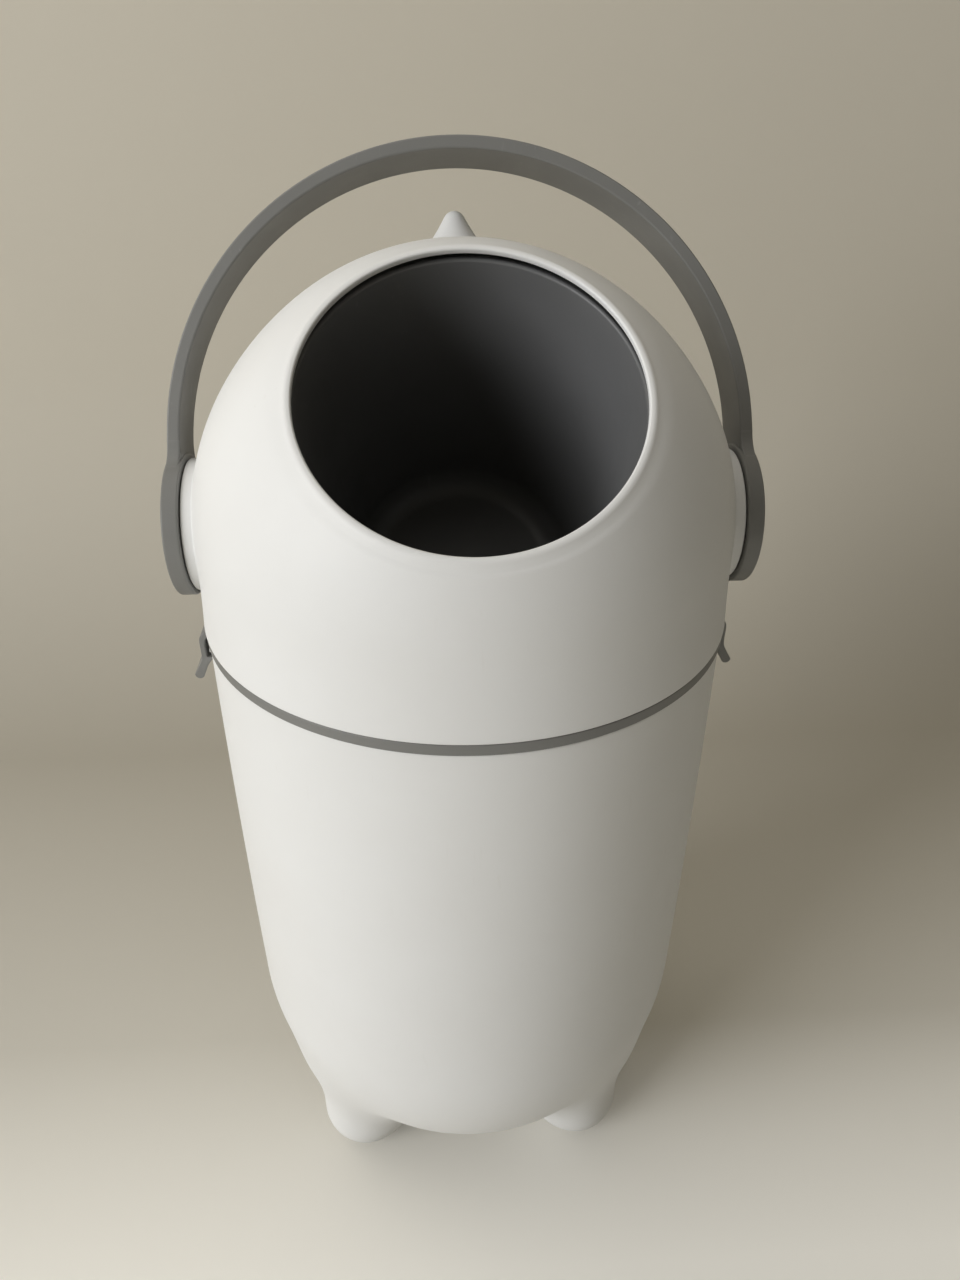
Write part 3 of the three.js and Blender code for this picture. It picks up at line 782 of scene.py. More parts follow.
@dataclass
class Workshop:
    """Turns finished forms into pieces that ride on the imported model's bodies."""

    finishes: dict[str, bpy.types.Material] = field(default_factory=dict)
    made: int = 0

    def finish(self, slot: str) -> bpy.types.Material:
        """Gives a slot's material, and builds it the first time.

        Args:
            slot: The record's material slot.

        Returns:
            The material.
        """
        if slot not in self.finishes:
            self.finishes[slot] = FINISHES[slot].build()
        return self.finishes[slot]

    def piece(
        self,
        form: bmesh.types.BMesh,
        name: str,
        body: Body,
        slot: str,
        stands_for: Sequence[str],
        shading: Shading = Shading.FLAT_SIDED,
    ) -> bpy.types.Object:
        """Makes a piece from a form in millimetres.

        Args:
            form: The finished form, which is freed.
            name: The piece's name.
            body: The body that it rides on.
            slot: The record's material slot that it takes.
            stands_for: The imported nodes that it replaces.
            shading: Whether flat sides keep flat normals beside their rounded edges.

        Returns:
            The piece.
        """
        moved(form, Matrix.Scale(MM, 4))
        mesh = bpy.data.meshes.new(name)
        form.to_mesh(mesh)
        form.free()
        for polygon in mesh.polygons:
            polygon.use_smooth = True
        mesh.set_sharp_from_angle(angle=math.radians(SHARP_ANGLE))
        mesh.materials.append(self.finish(slot))
        piece = bpy.data.objects.new(name, mesh)
        bpy.context.scene.collection.objects.link(piece)
        if shading is Shading.FLAT_SIDED:
            weighted = piece.modifiers.new("flat_sides", "WEIGHTED_NORMAL")
            weighted.keep_sharp = True
            weighted.weight = FLAT_SIDES_WEIGHT
        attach(piece, body.value)
        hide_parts(*stands_for)
        self.made += 1
        LOG.info("made %s: %d faces, on %s", name, len(mesh.polygons), body.value)
        return piece


# Body


@dataclass(frozen=True)
class Leg:
    """A tapered round leg, from its root inside the belly to its tip."""

    root: np.ndarray
    root_radius: float
    tip: np.ndarray
    tip_radius: float

    def distance(self, points: np.ndarray) -> np.ndarray:
        """Measures how far points are from the leg's surface.

        Args:
            points: The points, one row each.

        Returns:
            The distances, negative inside the leg.
        """
        along = self.root - self.tip
        share = np.clip((points - self.tip) @ along / (along @ along), 0.0, 1.0)
        radius = self.tip_radius + (self.root_radius - self.tip_radius) * share
        return np.linalg.norm(points - self.tip - share[:, None] * along, axis=1) - radius


@dataclass(frozen=True)
class LeggedBall:
    """A ball and the legs that grow out of it, with a soft blend where they meet."""

    centre: np.ndarray
    radius: float
    legs: tuple[Leg, ...]
    blend: float
    march_rounds: int = 80
    march_share: float = 0.85
    settling_rounds: int = 2
    probe: float = 0.01

    def to_ball(self, points: np.ndarray) -> np.ndarray:
        """Gives the distance from points to the ball's surface, negative inside it."""
        return np.linalg.norm(points - self.centre, axis=1) - self.radius

    def to_legs(self, points: np.ndarray) -> np.ndarray:
        """Gives the distance from points to the surface of each leg, a row for each leg."""
        return np.stack([leg.distance(points) for leg in self.legs])

    def depth(self, points: np.ndarray) -> np.ndarray:
        """Measures how far points are from the blended surface.

        Args:
            points: The points, one row each.

        Returns:
            The distances, negative inside the form.
        """
        # A smooth minimum takes the legs in one by one, and rounds the corner where two forms meet.
        depth = self.to_ball(points)
        for leg in self.legs:
            to_leg = leg.distance(points)
            overlap = np.maximum(self.blend - np.abs(depth - to_leg), 0.0)
            depth = np.minimum(depth, to_leg) - overlap * overlap / (4 * self.blend)
        return depth

    def drawn_out(self, points: np.ndarray) -> np.ndarray:
        """Goes from the nearest leg's root through points, and on to the blended surface.

        Args:
            points: Points on the ball.

        Returns:
            The points where those ways leave the blended form.
        """
        roots = np.array([leg.root for leg in self.legs])[self.to_legs(points).argmin(axis=0)]
        ways = points - roots
        ways /= np.linalg.norm(ways, axis=1)[:, None]
        # Each step is shorter than the depth that is left, so no way jumps over the surface.
        reach = np.zeros(len(points))
        for _ in range(self.march_rounds):
            inside = np.maximum(-self.depth(roots + ways * reach[:, None]), 0.0)
            reach += inside * self.march_share
        return roots + ways * reach[:, None]

    def settled(self, points: np.ndarray) -> np.ndarray:
        """Moves points that are close to the blended surface onto it.

        Args:
            points: The points.

        Returns:
            The nearest points of the surface.
        """
        for _ in range(self.settling_rounds):
            here = self.depth(points)
            slopes = [self.depth(points + step) - here for step in np.eye(3) * self.probe]
            slope = np.stack(slopes, axis=1)
            length = np.linalg.norm(slope, axis=1)[:, None]
            points = points - slope / np.maximum(length, 1e-9) * here[:, None]
        return points


def places(form: bmesh.types.BMesh) -> np.ndarray:
    """Gives the places of a form's vertices, one row each."""
    return np.array([v.co[:] for v in form.verts])


@dataclass
class BodyHousing:
    """The white lower housing: a round wall, an egg-shaped belly and three stubby feet moulded on."""

    belly_radius: float = 135.0
    belly_height: float = 163.0
    outer_facets: int = 58
    outer_rows: int = 22
    inner_facets: int = 40
    inner_rows: int = 7
    straight_rows: int = 5
    straight_row: float = 20.0
    rim_edge: float = 0.8
    rim_inner_edge: float = 0.5
    legs: tuple[tuple[str, float], ...] = (("front_left", -60.0), ("front_right", 60.0), ("back", 180.0))
    foot_reach: float = 84.9
    foot_height: float = 28.2
    foot_radius: float = 29.4
    leg_top_reach: float = 82.6
    leg_top_height: float = 85.4
    leg_top_radius: float = 28.0
    leg_blend: float = 43.0
    skin_depth: float = 0.4
    root_reach: float = 9.0
    even_margin: float = 6.0
    even_rounds: int = 40
    sole_height: float = 1.0
    sole_thickness: float = 5.5
    sole_margin: float = 0.4
    sole_in_leg: float = 1.0
    sole_on_skin: float = 0.3
    pad_radius: float = 9.5
    pad_thickness: float = 2.5
    notch_half: float = 15.1
    notch_floor: float = 396.2
    notch_from_axis: float = 110.0
    notch_reach_down: float = 30.0
    catch_bottom: float = 380.9
    catch_lip: float = 2.0
    catch_height: float = 6.5
    catch_sink: float = 0.4
    catch_width: float = 18.0
    catch_edge: float = 0.5
    steps: int = 192

    def outline(self) -> Outline:
        """Gives the half section, from the belly's outer pole over the rim to its inner pole.

        Returns:
            Points as (radius, height).
        """
        rim, top, middle = LEVELS.rim, LEVELS.body_radius, self.belly_height
        outer = arc((0, middle), self.belly_radius, -90, 0, self.outer_facets)
        for i in range(1, self.outer_rows + 1):
            share = i / self.outer_rows
            height = middle + (rim - 2 * self.rim_edge - middle) * share
            outer.append((top - (top - self.belly_radius) * (1 - share) ** 2, height))
        inner_top, inner_low = top - LEVELS.body_wall, self.belly_radius - LEVELS.body_wall
        lip = rounded(
            [
                (top, rim - 4),
                (top, rim, self.rim_edge),
                (inner_top, rim, self.rim_inner_edge),
                (inner_top, rim - 4),
            ],
            closed=False,
        )[1:-1]
        inner_start = rim - 2 * self.rim_edge
        inner = [(inner_top, inner_start - self.straight_row * i) for i in range(self.straight_rows + 1)]
        straight_end = inner[-1][1]
        for i in range(1, self.inner_rows + 1):
            share = i / self.inner_rows
            height = straight_end + (middle - straight_end) * share
            inner.append((inner_top + (inner_low - inner_top) * share * share, height))
        inner += arc((0, middle), inner_low, 0, -90, self.inner_facets)[1:]
        outer[0] = (0.0, outer[0][1])
        inner[-1] = (0.0, inner[-1][1])
        return [*outer, *lip, *inner]

    def legged(self, thinner: float = 0.0) -> LeggedBall:
        """Gives the belly's ball with its legs.

        Args:
            thinner: How far under the outer surface it runs, for the hollow inside.

        Returns:
            The form that the skin is drawn onto.
        """
        up = np.array((0.0, 0.0, 1.0))
        legs = []
        for _, from_front in self.legs:
            turn = math.radians(from_front)
            way = np.array((math.sin(turn), -math.cos(turn), 0.0))
            legs.append(
                Leg(
                    root=way * self.leg_top_reach + up * self.leg_top_height,
                    root_radius=self.leg_top_radius - thinner,
                    tip=way * self.foot_reach + up * self.foot_height,
                    tip_radius=self.foot_radius - thinner,
                )
            )
        return LeggedBall(up * self.belly_height, self.belly_radius - thinner, tuple(legs), self.leg_blend)

    def grow(self, form: bmesh.types.BMesh, shape: LeggedBall, cuts: int) -> None:
        """Draws the legs out of the belly's skin and evens its facets out.

        Args:
            form: The belly.
            shape: The ball and its legs.
            cuts: How many cuts each facet gets where a leg grows.
        """

        def skin(points: np.ndarray, reach: float) -> np.ndarray:
            """Tells which points are on the belly's skin near a leg.

            Args:
                points: The points, one row each.
                reach: How near the leg they are.

            Returns:
                True for each such point.
            """
            on_belly = np.abs(shape.to_ball(points)) < self.skin_depth
            near_leg = shape.to_legs(points).min(axis=0) < reach
            return on_belly & near_leg & (points[:, 2] < self.belly_height)

        rooted = skin(places(form), self.root_reach)
        form.verts.index_update()
        edges = [e for e in form.edges if rooted[e.verts[0].index] and rooted[e.verts[1].index]]
        bmesh.ops.subdivide_edges(form, edges=edges, cuts=cuts, use_grid_fill=True)
        points = places(form)
        patch = skin(points, shape.blend)
        inner = skin(points, shape.blend - self.even_margin)
        points[patch] = shape.drawn_out(points[patch])
        form.verts.index_update()
        pairs = np.array([(e.verts[0].index, e.verts[1].index) for e in form.edges])
        starts, ends = np.concatenate([pairs, pairs[:, ::-1]]).T
        wanted = inner[starts]
        starts, ends = starts[wanted], ends[wanted]
        # Each point goes halfway to its neighbours' middle, and then back onto the surface.
        count = len(points)
        neighbours = np.bincount(starts, minlength=count)
        for _ in range(self.even_rounds):
            sums = [np.bincount(starts, points[ends, axis], minlength=count) for axis in range(3)]
            middle = np.stack(sums, axis=1)[inner] / neighbours[inner][:, None]
            points[inner] = shape.settled(points[inner] * 0.5 + middle * 0.5)
        for vert, point in zip(form.verts, points):
            vert.co = point

    def cut_soles(self, form: bmesh.types.BMesh) -> None:
        """Cuts the feet flat, closes their soles and sinks a seat for each pad.

        Args:
            form: The housing with its legs.
        """
        ground = Plane(Vector((0, 0, self.sole_height)), Vector((0, 0, 1)))
        ground.cut(form, list(form.faces), clear=True)
        rim = [e for e in form.edges if e.is_boundary and all(ground.holds(v) for v in e.verts)]
        soles = bmesh.ops.holes_fill(form, edges=rim, sides=0)["faces"]
        seat_depth = self.pad_thickness - self.sole_height + LEVELS.gap
        for sole in soles:
            reach = max((v.co - sole.calc_center_median()).length for v in sole.verts)
            margin = max(reach - self.pad_radius - LEVELS.gap, self.sole_margin)
            bmesh.ops.inset_region(form, faces=[sole], thickness=margin)
            grown = bmesh.ops.extrude_face_region(form, geom=[sole])
            bmesh.ops.translate(form, verts=new_verts(grown), vec=(0, 0, seat_depth))
            if sole.is_valid:
                bmesh.ops.delete(form, geom=[sole], context="FACES_ONLY")

    def cut_notch(self, form: bmesh.types.BMesh, side: Side) -> None:
        """Cuts the notch in the rim that a latch's ears sit in, and closes its three walls.

        Args:
            form: The housing.
            side: The side of the bin.
        """

        def near(middle: Vector) -> bool:
            """Whether a face's middle is in the wall about the notch."""
            outside = side.sign * middle.x > self.notch_from_axis
            return outside and middle.z > self.notch_floor - self.notch_reach_down

        def inside(middle: Vector) -> bool:
            """Whether a face's middle is in the notch."""
            return near(middle) and abs(middle.y) < self.notch_half and middle.z > self.notch_floor

        back = Plane(Vector((0, self.notch_half, 0)), Vector((0, 1, 0)))
        front = Plane(Vector((0, -self.notch_half, 0)), Vector((0, 1, 0)))
        floor = Plane(Vector((0, 0, self.notch_floor)), Vector((0, 0, 1)))
        for plane in (back, front, floor):
            plane.cut(form, faces_where(form, near))
        bmesh.ops.delete(form, geom=faces_where(form, inside), context="FACES")
        open_edges = [e for e in form.edges if e.is_boundary]
        open_verts = {v for e in open_edges for v in e.verts}
        for wall in (front, back):
            foot = [v for v in open_verts if wall.holds(v) and floor.holds(v)]
            if len(foot) == 2:
                open_edges.append(form.edges.new(foot))
        for wall in (back, front, floor):
            border = [e for e in open_edges if all(wall.holds(v) for v in e.verts)]
            bmesh.ops.contextual_create(form, geom=border)

    def catch(self, side: Side) -> bmesh.types.BMesh:
        """Makes the ledge that a latch hooks under.

        Args:
            side: The side of the bin.

        Returns:
            The ledge.
        """
        low, high = self.catch_bottom, self.catch_bottom + self.catch_height
        root = LEVELS.body_radius - LEVELS.body_wall / 2
        face = LEVELS.body_radius + LEVELS.catch_reach
        outline = [
            (root, low),
            (face, low),
            (face, low + self.catch_lip),
            (LEVELS.body_radius - self.catch_sink, high),
            (root, high),
        ]
        return moved(drawn_out(outline, self.catch_width, self.catch_edge), side.turn)

    def build(self, shop: Workshop) -> None:
        """Makes the housing and its foot pads.

        Args:
            shop: Where pieces are made.
        """
        form = spun(self.outline(), self.steps, closed=False)
        floor = self.sole_height + self.sole_thickness
        outer, inner = self.legged(), self.legged(LEVELS.body_wall)
        self.grow(form, outer, 3)
        self.grow(form, inner, 1)
        form.verts.ensure_lookup_table()
        points = places(form)
        # The hollow of each leg stops above the sole, so its lowest points come up to a flat floor.
        in_leg = inner.to_legs(points).min(axis=0) < self.sole_in_leg
        on_skin = np.abs(inner.depth(points)) < self.sole_on_skin
        for i in np.flatnonzero(in_leg & on_skin & (points[:, 2] < floor)):
            form.verts[i].co.z = floor
        self.cut_soles(form)
        for side in Side:
            self.cut_notch(form, side)
        bmesh.ops.recalc_face_normals(form, faces=form.faces)
        joined(form, *(self.catch(side) for side in Side))
        shop.piece(form, "body_housing", Body.BASE, "white_plastic", ["body_shell"], Shading.ROUND)
        for leg, (name, _) in zip(outer.legs, self.legs):
            pad = rod(self.pad_radius, 0, self.pad_thickness, (0.6, 0.3), 48)
            moved(pad, Matrix.Translation((leg.tip[0], leg.tip[1], 0)))
            shop.piece(pad, f"rubber_foot_{name}", Body.BASE, "pad_rubber", [f"foot_pad_{name}"])


# Head


@dataclass
class HeadHousing:
    """The white dome with its slanted round mouth, side bosses and the small horn behind."""

    edge_radius: float = 139.5
    edge_inner: float = 136.9
    lip_radius: float = 2.6
    lip_edge: float = 1.0
    lip_depth: float = 2.4
    valley: tuple[tuple[float, float], ...] = (
        (3.2, 0.36),
        (4.4, 0.4),
        (5.8, 0.36),
        (7.6, 0.24),
        (9.8, 0.1),
        (12.4, 0.0),
        (15.0, 0.0),
    )
    flattening: float = 1.8
    crest_back: float = 31.0
    crest_facing: tuple[float, float] = (0.1, 0.75)
    clear_of_mouth: tuple[float, float] = (34.0, 62.0)
    above_hub: tuple[float, float] = (0.0, 0.35)
    boss_radius: float = 34.0
    boss_edge: float = 0.9
    boss_flare: float = 0.9
    boss_flare_steps: int = 8
    boss_root: float = 133.4
    boss_sink: float = 0.12
    boss_hidden: float = 1.2
    bush_seat_radius: float = 18.8
    bush_seat_depth: float = 1.9
    bush_seat_bore: float = 15.3
    bush_flange_radius: float = 18.5
    bush_flange_thickness: float = 1.6
    bush_radius: float = 15.0
    bush_bore: float = 12.0
    horn_back: float = 25.5
    horn_height: float = 19.7
    horn_left: float = 1.7
    horn_tip: float = 5.8
    horn_tip_start: float = 28.0
    horn_waist: tuple[float, float] = (11.9, 4.2)
    horn_foot: float = 17.0
    horn_skirt: float = 1.6
    horn_steps: int = 28
    post_radius: float = 3.2
    post_bore: float = 1.5
    post_height: float = 12.0
    web_half: float = 1.1
    steps: int = 192

    def wall_radius(self, height: float) -> float:
        """Radius of the dome's outside at a height from the hub, below its middle."""
        share = max(-height, 0.0) / (LEVELS.hub - LEVELS.seam)
        return LEVELS.head_radius + (self.edge_radius - LEVELS.head_radius) * share * share

    def surface_x(self, y: float, height: float) -> float:
        """Gives how far out the dome's outside is at a point beside the handle's axis.

        Args:
            y: The point's distance behind the axis.
            height: Its height from the axis.

        Returns:
            The distance from the middle of the bin.
        """
        radius = self.wall_radius(height)
        squared = radius * radius - y * y
        if height > 0:
            squared -= height * height
        return math.sqrt(squared)

    def leaned(self, point: Vector) -> Vector:
        """Leans a point of the dome forward: fully at the mouth, not at all at the dome's middle.

        Args:
            point: A point of the upright dome, from the hub.

        Returns:
            The point where it goes.
        """
        start = math.asin((LEVELS.mouth_radius + 2 * self.lip_radius) / LEVELS.head_inner)
        from_top = point.angle(Vector((0, 0, 1)))
        share = min(max((math.pi / 2 - from_top) / (math.pi / 2 - start), 0.0), 1.0)
        return Matrix.Rotation(math.radians(LEVELS.mouth_tilt) * share, 3, "X") @ point

    def flattened(self, point: Vector) -> Vector:
        """Lowers the dome's shoulders and crest a little, and leaves the mouth and the hub's level.

        Args:
            point: A point of the dome, from the hub.

        Returns:
            The point where it goes.
        """
        back, tilt = math.radians(self.crest_back), math.radians(LEVELS.mouth_tilt)
        way = point.normalized()
        crest = eased(way.dot(Vector((0, math.sin(back), math.cos(back)))), *self.crest_facing)
        from_mouth = math.degrees(way.angle(Vector((0, -math.sin(tilt), math.cos(tilt)))))
        clear, raised = eased(from_mouth, *self.clear_of_mouth), eased(way.z, *self.above_hub)
        return point - way * (self.flattening * crest * clear * raised)

    def dome(self) -> bmesh.types.BMesh:
        """Makes the dome's wall, closed at the mouth by the rolled lip.

        Returns:
            The dome in place.
        """
        mouth, crown = LEVELS.mouth_radius, LEVELS.mouth_plane + LEVELS.gap
        lip = mouth + self.lip_edge
        valley = [
            on_ball(mouth + across, LEVELS.head_radius - deep) for across, deep in self.valley
        ]
        crest = smooth_path([(lip + 0.1, crown), (mouth + 2.1, crown - 0.05), *valley], 3)
        start = math.degrees(math.acos(valley[-1][0] / LEVELS.head_radius))
        under = math.degrees(math.acos((mouth + 2 * self.lip_radius) / LEVELS.head_inner))
        drop = LEVELS.hub - LEVELS.seam
        skirt = [(self.wall_radius(-drop * i / 12), -drop * i / 12) for i in range(1, 12)]
        inside = between((LEVELS.head_inner, 0.0), (self.edge_inner, -drop), 6)
        edge = rounded(
            [
                (self.wall_radius(-drop * 0.9), -drop * 0.9),
                (self.edge_radius, -drop, 0.7),
                (self.edge_inner, -drop, 0.4),
                (self.edge_inner, -drop * 0.9),
            ],
            closed=False,
        )[1:-1]
        outline = [
            *arc((lip, crown - self.lip_depth), self.lip_edge, 270, 180, 6),
            *arc((lip, crown - self.lip_edge), self.lip_edge, 180, 92, 8),
            *crest,
            *arc((0, 0), LEVELS.head_radius, start, 0, 60)[1:],
            *skirt,
            *edge,
            *reversed(inside),
            *arc((0, 0), LEVELS.head_inner, 0, under, 40),
        ]
        form = spun(outline, self.steps)
        for vert in form.verts:
            vert.co = self.flattened(self.leaned(vert.co))
        return moved(form, Matrix.Translation((0, 0, LEVELS.hub)))

    def boss(self, side: Side) -> bmesh.types.BMesh:
        """Makes a side boss whose foot flares softly into the dome.

        Args:
            side: The side of the bin.

        Returns:
            The boss in place.
        """
        face, radius, bore = LEVELS.boss_face, self.boss_radius, self.bush_seat_bore
        seat = face - self.bush_seat_depth
        outline = rounded(
            [
                (bore, self.boss_root),
                (bore, seat),
                (self.bush_seat_radius, seat),
                (self.bush_seat_radius, face, 0.3),
                (radius, face, self.boss_edge),
                (radius, face - 2.5),
            ],
            closed=False,
        )
        for i in range(self.boss_flare_steps + 1):
            turn = math.radians(90 * i / self.boss_flare_steps)
            across = self.boss_flare * (1 - math.cos(turn))
            outline.append((radius + across, self.boss_root - self.boss_flare * math.sin(turn)))
        rim, low = outline[-1][0], outline[-1][1] - self.boss_hidden
        form = spun([*outline, (rim, low), (bore, low)], 96)
        # The flare's foot follows the dome, which falls away unevenly round the boss.
        for vert in form.verts:
            across = math.hypot(vert.co.x, vert.co.y)
            if across < radius - ON_PLANE or vert.co.z > self.boss_root + ON_PLANE:
                continue
            below = self.boss_root - vert.co.z
            foot = self.surface_x(vert.co.y, -vert.co.x) - self.boss_sink
            rise = self.boss_flare - min(below, self.boss_flare)
            hidden = max(below - self.boss_flare, 0.0)
            vert.co.z = min(foot + rise - hidden, face - self.boss_hidden)
        return LEVELS.on_hub_axis(form, side)

    def bush(self, side: Side) -> bmesh.types.BMesh:
        """Makes the flanged bearing bush that sits in a side boss.

        Args:
            side: The side of the bin.

        Returns:
            The bush in place.
        """
        face = LEVELS.boss_face
        flange = face - self.bush_flange_thickness
        outline = [
            (self.bush_bore, self.boss_root),
            (self.bush_radius, self.boss_root, 0.4),
            (self.bush_radius, flange),
            (self.bush_flange_radius, flange, 0.3),
            (self.bush_flange_radius, face, 0.3),
            (self.bush_bore, face, 0.4),
        ]
        return LEVELS.on_hub_axis(spun(rounded(outline), 64), side)

    def horn(self) -> bmesh.types.BMesh:
        """Makes the small horn, with a foot that runs out along the dome.

        Returns:
            The horn in place.
        """
        radius = LEVELS.head_radius
        foot_drop = radius - on_ball(self.horn_foot, radius)[1]
        tip = arc((0, self.horn_height - self.horn_tip), self.horn_tip, self.horn_tip_start, 90, 14)
        tip[-1] = (0.0, tip[-1][1])
        foot, waist, neck = (Vector(p) for p in ((self.horn_foot, -foot_drop), self.horn_waist, tip[0]))
        flare = []
        for i in range(self.horn_steps):
            t = i / self.horn_steps
            point = foot * (1 - t) ** 2 + waist * 2 * t * (1 - t) + neck * t * t
            flare.append((point.x, point.y))
        outside = self.horn_foot + self.horn_skirt
        edge = (outside, on_ball(outside, radius)[1] - radius - 0.02)
        # The flare's foot runs out a little under the dome's surface, so no step shows there.
        flare[:3] = smooth_path([edge, flare[2], flare[4]], 3)[:4]
        low = -foot_drop - 2.0
        under = [(0.0, low), (self.horn_foot - 0.8, low), (outside, edge[1] - 0.6)]
        form = spun([*under, *flare, *tip], 96, closed=False)
        back, seat = math.radians(self.horn_back), radius - self.flattening
        place = (-self.horn_left, seat * math.sin(back), LEVELS.hub + seat * math.cos(back))
        return moved(form, Matrix.Translation(place) @ Matrix.Rotation(-back, 4, "X"))

    def posts(self, screws: Sequence[tuple[float, float]]) -> list[bmesh.types.BMesh]:
        """Makes the screw posts inside the dome's lower edge.

        Args:
            screws: The screws' places.

        Returns:
            The posts with their webs.
        """
        forms = []
        low, high = LEVELS.seam + 0.05, LEVELS.seam + self.post_height
        bore, radius = self.post_bore, self.post_radius
        for x, y in screws:
            place = Matrix.Translation((x, y, 0))
            tube = [(bore, low), (radius, low, 0.3), (radius, high, 0.5), (bore, high)]
            forms.append(moved(spun(rounded(tube), 36), place))
            reach = self.edge_inner + 1.0 - math.hypot(x, y)
            web = block((2.0, -self.web_half, low), (reach, self.web_half, high - 0.5), 0.3)
            forms.append(moved(web, place @ Matrix.Rotation(math.atan2(y, x), 4, "Z")))
        return forms

    def build(self, shop: Workshop, screws: Sequence[tuple[float, float]]) -> None:
        """Makes the dome with all that is moulded on it.

        Args:
            shop: Where pieces are made.
            screws: The places of the collar's screws.
        """
        form = joined(self.dome(), *(self.boss(side) for side in Side), self.horn(), *self.posts(screws))
        shop.piece(form, "head_housing", Body.HEAD, "white_plastic", ["head_shell"], Shading.ROUND)
        for side in Side:
            name, node = f"bearing_bush_{side.value}", f"pivot_bush_{side.value}"
            shop.piece(self.bush(side), name, Body.HEAD, "bush_plastic", [node])


# Collar


@dataclass
class Collar:
    """The grey ring between head and body, with its seals and screws."""

    band_radius: float = 139.0
    band_edge: float = 0.7
    flange_radius: float = 126.8
    flange_thickness: float = 3.0
    spigot_outer: float = 134.4
    spigot_inner: float = 132.0
    spigot_depth: float = 15.5
    shoulder: float = 1.5
    tongue_outer: float = 136.3
    tongue_wall: float = 2.2
    tongue_height: float = 7.3
    groove_depth: float = 1.2
    gasket_height: float = 3.6
    gasket_drop: float = 8.0
    ear_start: float = 11.1
    ear_thickness: float = 3.0
    ear_drop: float = 6.7
    screw_circle: float = 131.6
    screw_head: float = 2.9
    screw_head_height: float = 2.2
    screw_shank: float = 1.2
    screw_length: float = 15.0
    seal_width: float = 2.4
    seal_height: float = 3.0
    seal_overlap: float = 0.5
    mouth_seal_radius: float = 85.5
    mouth_seal_width: float = 5.0
    mouth_seal_taper: float = 0.4
    mouth_seal_gap: float = 0.8
    steps: int = 192

    @property
    def bottom(self) -> float:
        """Height of the band's lower face."""
        return LEVELS.rim + LEVELS.gap

    def screw_places(self) -> list[tuple[float, float]]:
        """Gives the four screws' places, as (x, y)."""
        reach = self.screw_circle * math.sqrt(0.5)
        return [(reach, reach), (-reach, reach), (-reach, -reach), (reach, -reach)]

    def ring(self) -> bmesh.types.BMesh:
        """Makes the ring with its spigot, tongue and seal groove.

        Returns:
            The ring.
        """
        low, top = self.bottom, LEVELS.seam - LEVELS.gap
        flange_top = low + self.flange_thickness
        groove_top = low - self.gasket_drop + LEVELS.gap
        groove_low = groove_top - self.gasket_height - 2 * LEVELS.gap
        outline = rounded(
            [
                (self.flange_radius, low, 0.4),
                (self.spigot_inner, low, 0.6),
                (self.spigot_inner, low - self.spigot_depth, 0.5),
                (self.spigot_outer, low - self.spigot_depth, 0.8),
                (self.spigot_outer, groove_low, 0.2),
                (self.spigot_outer - self.groove_depth, groove_low, 0.2),
                (self.spigot_outer - self.groove_depth, groove_top, 0.2),
                (self.spigot_outer, groove_top, 0.2),
                (self.spigot_outer, low, 0.3),
                (self.band_radius, low, self.band_edge),
                (self.band_radius, top, self.band_edge),
                (self.tongue_outer, top, 0.2),
                (self.tongue_outer, top + self.tongue_height, 0.6),
                (self.tongue_outer - self.tongue_wall, top + self.tongue_height, 0.6),
                (self.tongue_outer - self.tongue_wall, top, 0.3),
                (self.spigot_inner - self.shoulder, top, 0.5),
                (self.spigot_inner - self.shoulder, flange_top, 0.4),
                (self.flange_radius, flange_top, 0.8),
            ],
            steps=3,
        )
        return spun(outline, self.steps)

    def ears(self) -> list[bmesh.types.BMesh]:
        """Makes the two ears on each side that carry a latch's pin.

        Returns:
            The four ears.
        """
        forms = []
        for side in Side:
            for end in (-1, 1):
                low_y, high_y = sorted((end * self.ear_start, end * (self.ear_start + self.ear_thickness)))
                low = (self.spigot_outer - 1.0, low_y, self.bottom - self.ear_drop)
                high = (self.band_radius - self.band_edge, high_y, self.bottom + 1.5)
                forms.append(moved(block(low, high, 0.5), side.turn))
        return forms

    def screw(self) -> bmesh.types.BMesh:
        """Makes a screw with a pan head and a shank, head down, its head's top at z = 0.

        Returns:
            The screw.
        """
        height = self.screw_head_height
        outline = [
            (0.0, 0.55),
            (0.75, 0.5),
            (0.95, 0.1),
            (self.screw_head * 0.55, 0.03),
            (self.screw_head * 0.85, 0.3),
            (self.screw_head, 0.95),
            (self.screw_head, height - 0.2),
            (self.screw_head - 0.2, height),
            (self.screw_shank, height),
            (self.screw_shank, height + self.screw_length - 2.0),
            (0.0, height + self.screw_length),
        ]
        return spun(outline, 36, closed=False)

    def build(self, shop: Workshop) -> None:
        """Makes the ring, its two seals, the mouth's seal and the screws.

        Args:
            shop: Where pieces are made.
        """
        band = joined(self.ring(), *self.ears())
        shop.piece(band, "collar_band", Body.HEAD, "grey_plastic", ["collar_ring"])
        shop.piece(self.gasket(), "rim_gasket", Body.HEAD, "seal_rubber", ["collar_gasket"])
        shop.piece(self.drum_seal(), "drum_lip_seal", Body.HEAD, "seal_rubber", ["drum_seal"])
        shop.piece(self.mouth_seal(), "mouth_lip_seal", Body.HEAD, "seal_rubber", ["mouth_seal"])
        for i, (x, y) in enumerate(self.screw_places(), 1):
            place = Matrix.Translation((x, y, LEVELS.rim - self.screw_head_height))
            screw = moved(self.screw(), place)
            shop.piece(screw, f"pan_head_screw_{i}", Body.HEAD, "steel", [f"collar_screw_{i}"])

